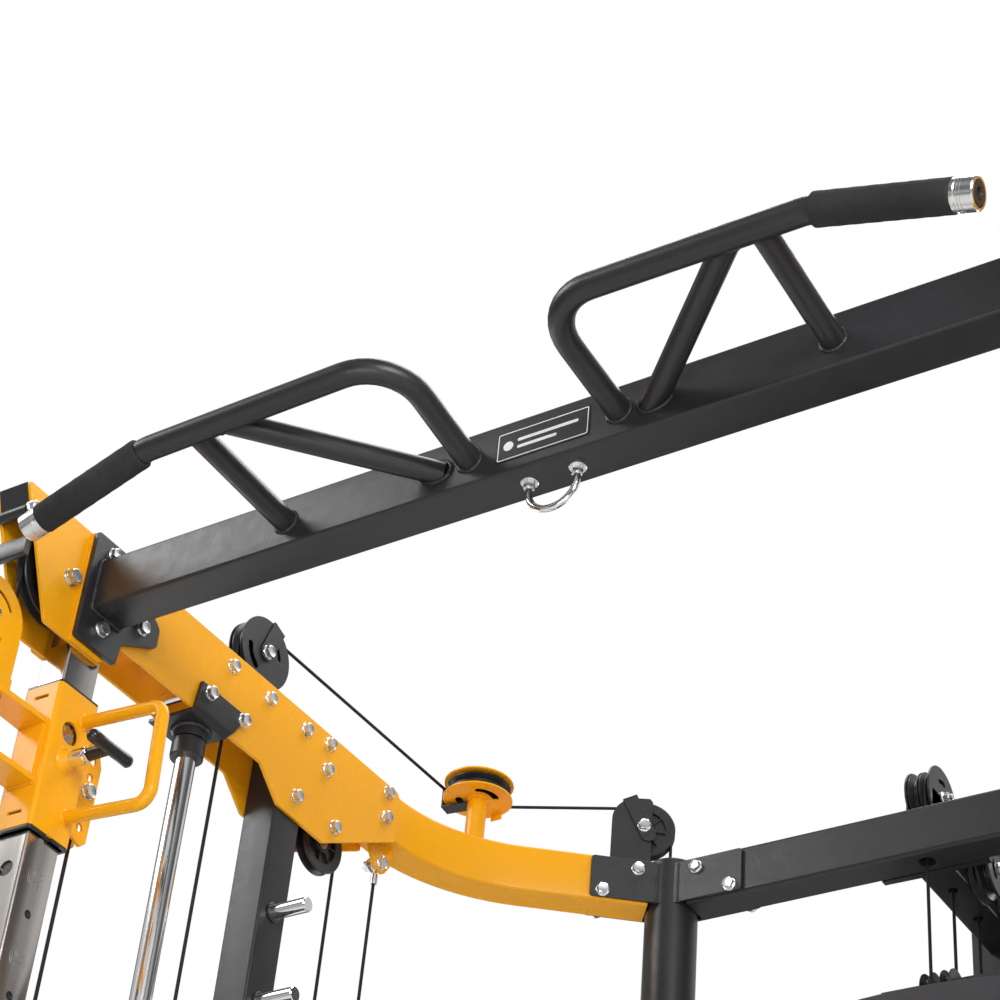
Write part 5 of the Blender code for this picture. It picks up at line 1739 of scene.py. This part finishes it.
def add_world():
    """A white backdrop. To surfaces it is a dim room with lighter and darker sides."""
    world = bpy.data.worlds.new("surround")
    world.use_nodes = True
    bpy.context.scene.world = world
    tree = world.node_tree
    background = tree.nodes["Background"]
    background.inputs["Color"].default_value = (1, 1, 1, 1)
    direction = tree.nodes.new("ShaderNodeTexCoord")
    sides = tree.nodes.new("ShaderNodeTexNoise")
    sides.inputs["Scale"].default_value = 1.7
    sides.inputs["Detail"].default_value = 0.0
    tree.links.new(direction.outputs["Generated"], sides.inputs["Vector"])
    dim = mapped(tree, sides.outputs["Fac"], 0.10, 0.62, 0.40, 0.60)
    path = tree.nodes.new("ShaderNodeLightPath")
    strength = tree.nodes.new("ShaderNodeMapRange")
    strength.inputs["To Max"].default_value = 1.0
    tree.links.new(dim, strength.inputs["To Min"])
    tree.links.new(path.outputs["Is Camera Ray"], strength.inputs["Value"])
    tree.links.new(strength.outputs["Result"], background.inputs["Strength"])


def add_floor():
    """A pale floor with a faint mottle."""
    points, faces = brick((-4, -4, -0.02), (4, 4, -0.0005))
    floor = helper((points, faces))
    floor.name = "floor"
    made = finish_of("floor", (0.78, 0.78, 0.77), (0.5, 0.65), (300, 0.1, 0.0002, EVEN), vary=0.015)
    floor.data.materials.append(made)


def stage():
    """The camera, the world, the floor and the six lamps."""
    add_camera()
    add_world()
    add_floor()
    area_light("key", (3.0, -3.0, 2.6), (-0.3, -0.3, 1.9), (1.5, 1.5), 100)
    area_light("strip", (-3.2, -2.6, 4.4), (-0.6, -0.4, 1.9), (2.2, 1.4), 62)
    area_light("low", (0.8, -4.0, 0.5), (-0.2, -0.4, 2.0), (2.4, 0.8), 36)
    area_light("top", (0.2, 0.6, 4.8), (0, 0, 1.5), (2.4, 2.4), 82)
    area_light("back", (1.2, 3.6, 2.0), (0, 0.3, 1.5), (2.4, 1.6), 55)
    area_light("left", (-3.6, 1.2, 1.8), (-0.2, 0, 1.5), (1.6, 2.4), 45)
    bpy.context.scene.view_settings.view_transform = "Standard"


def build():
    """Every piece, in a fixed order."""
    pull_up_beam()
    hanging_eye()
    label_plate()
    for label, side in SIDES.items():
        grip_ends(label, side)
        head_plates(label, side)
        head_inside(label, side)
        front_column(label, side)
        smith_upright(label, side)
        guide_rod(label, side)
        guide_rod_bracket(label, side)
        curved_top_tube(label, side)
        rear_column(label, side)
        column_pulley_strap(label, side)
        carriage(label, side)
        pop_pin(label, side)
        swivel(label, side)
        top_pulley_guard(label, side)
        axes = {"head": X, "plate": X, "top": X, "flat": Z, "column": column_axis(label, side)[1].cross(Z)}
        for kind, axis in axes.items():
            node = f"{kind}_pulley_{label}"
            wheel(node, node, axis, RUNS[kind], node)
        front_cable(label, side)
        upper_cable(label, side)
        carriage_cable(label)
        keep(f"base_rail_{label}", "black", 0.002)
        keep(f"bar_slider_{label}", "black", 0.002)
        slider_details(label, side)
        base_details(label, side)
        keep(f"stack_rod_{label}", "chrome", 0.0)
    centre_pulleys(*stack_cables())
    stack_head()
    keep("rear_base", "black", 0.002)
    keep("rear_top_tube", "black", 0.001)
    keep("stack_top_beam", "black", 0.001)
    smith_bar()
    stack_details()
    keep("resting_weights", "iron", 0.001)
    keep("lifted_weights", "iron", 0.001)
    keep("selector_pin", "rubber", 0.001)
    keep("stack_shroud", "panel", 0.0006)


stage()
build()
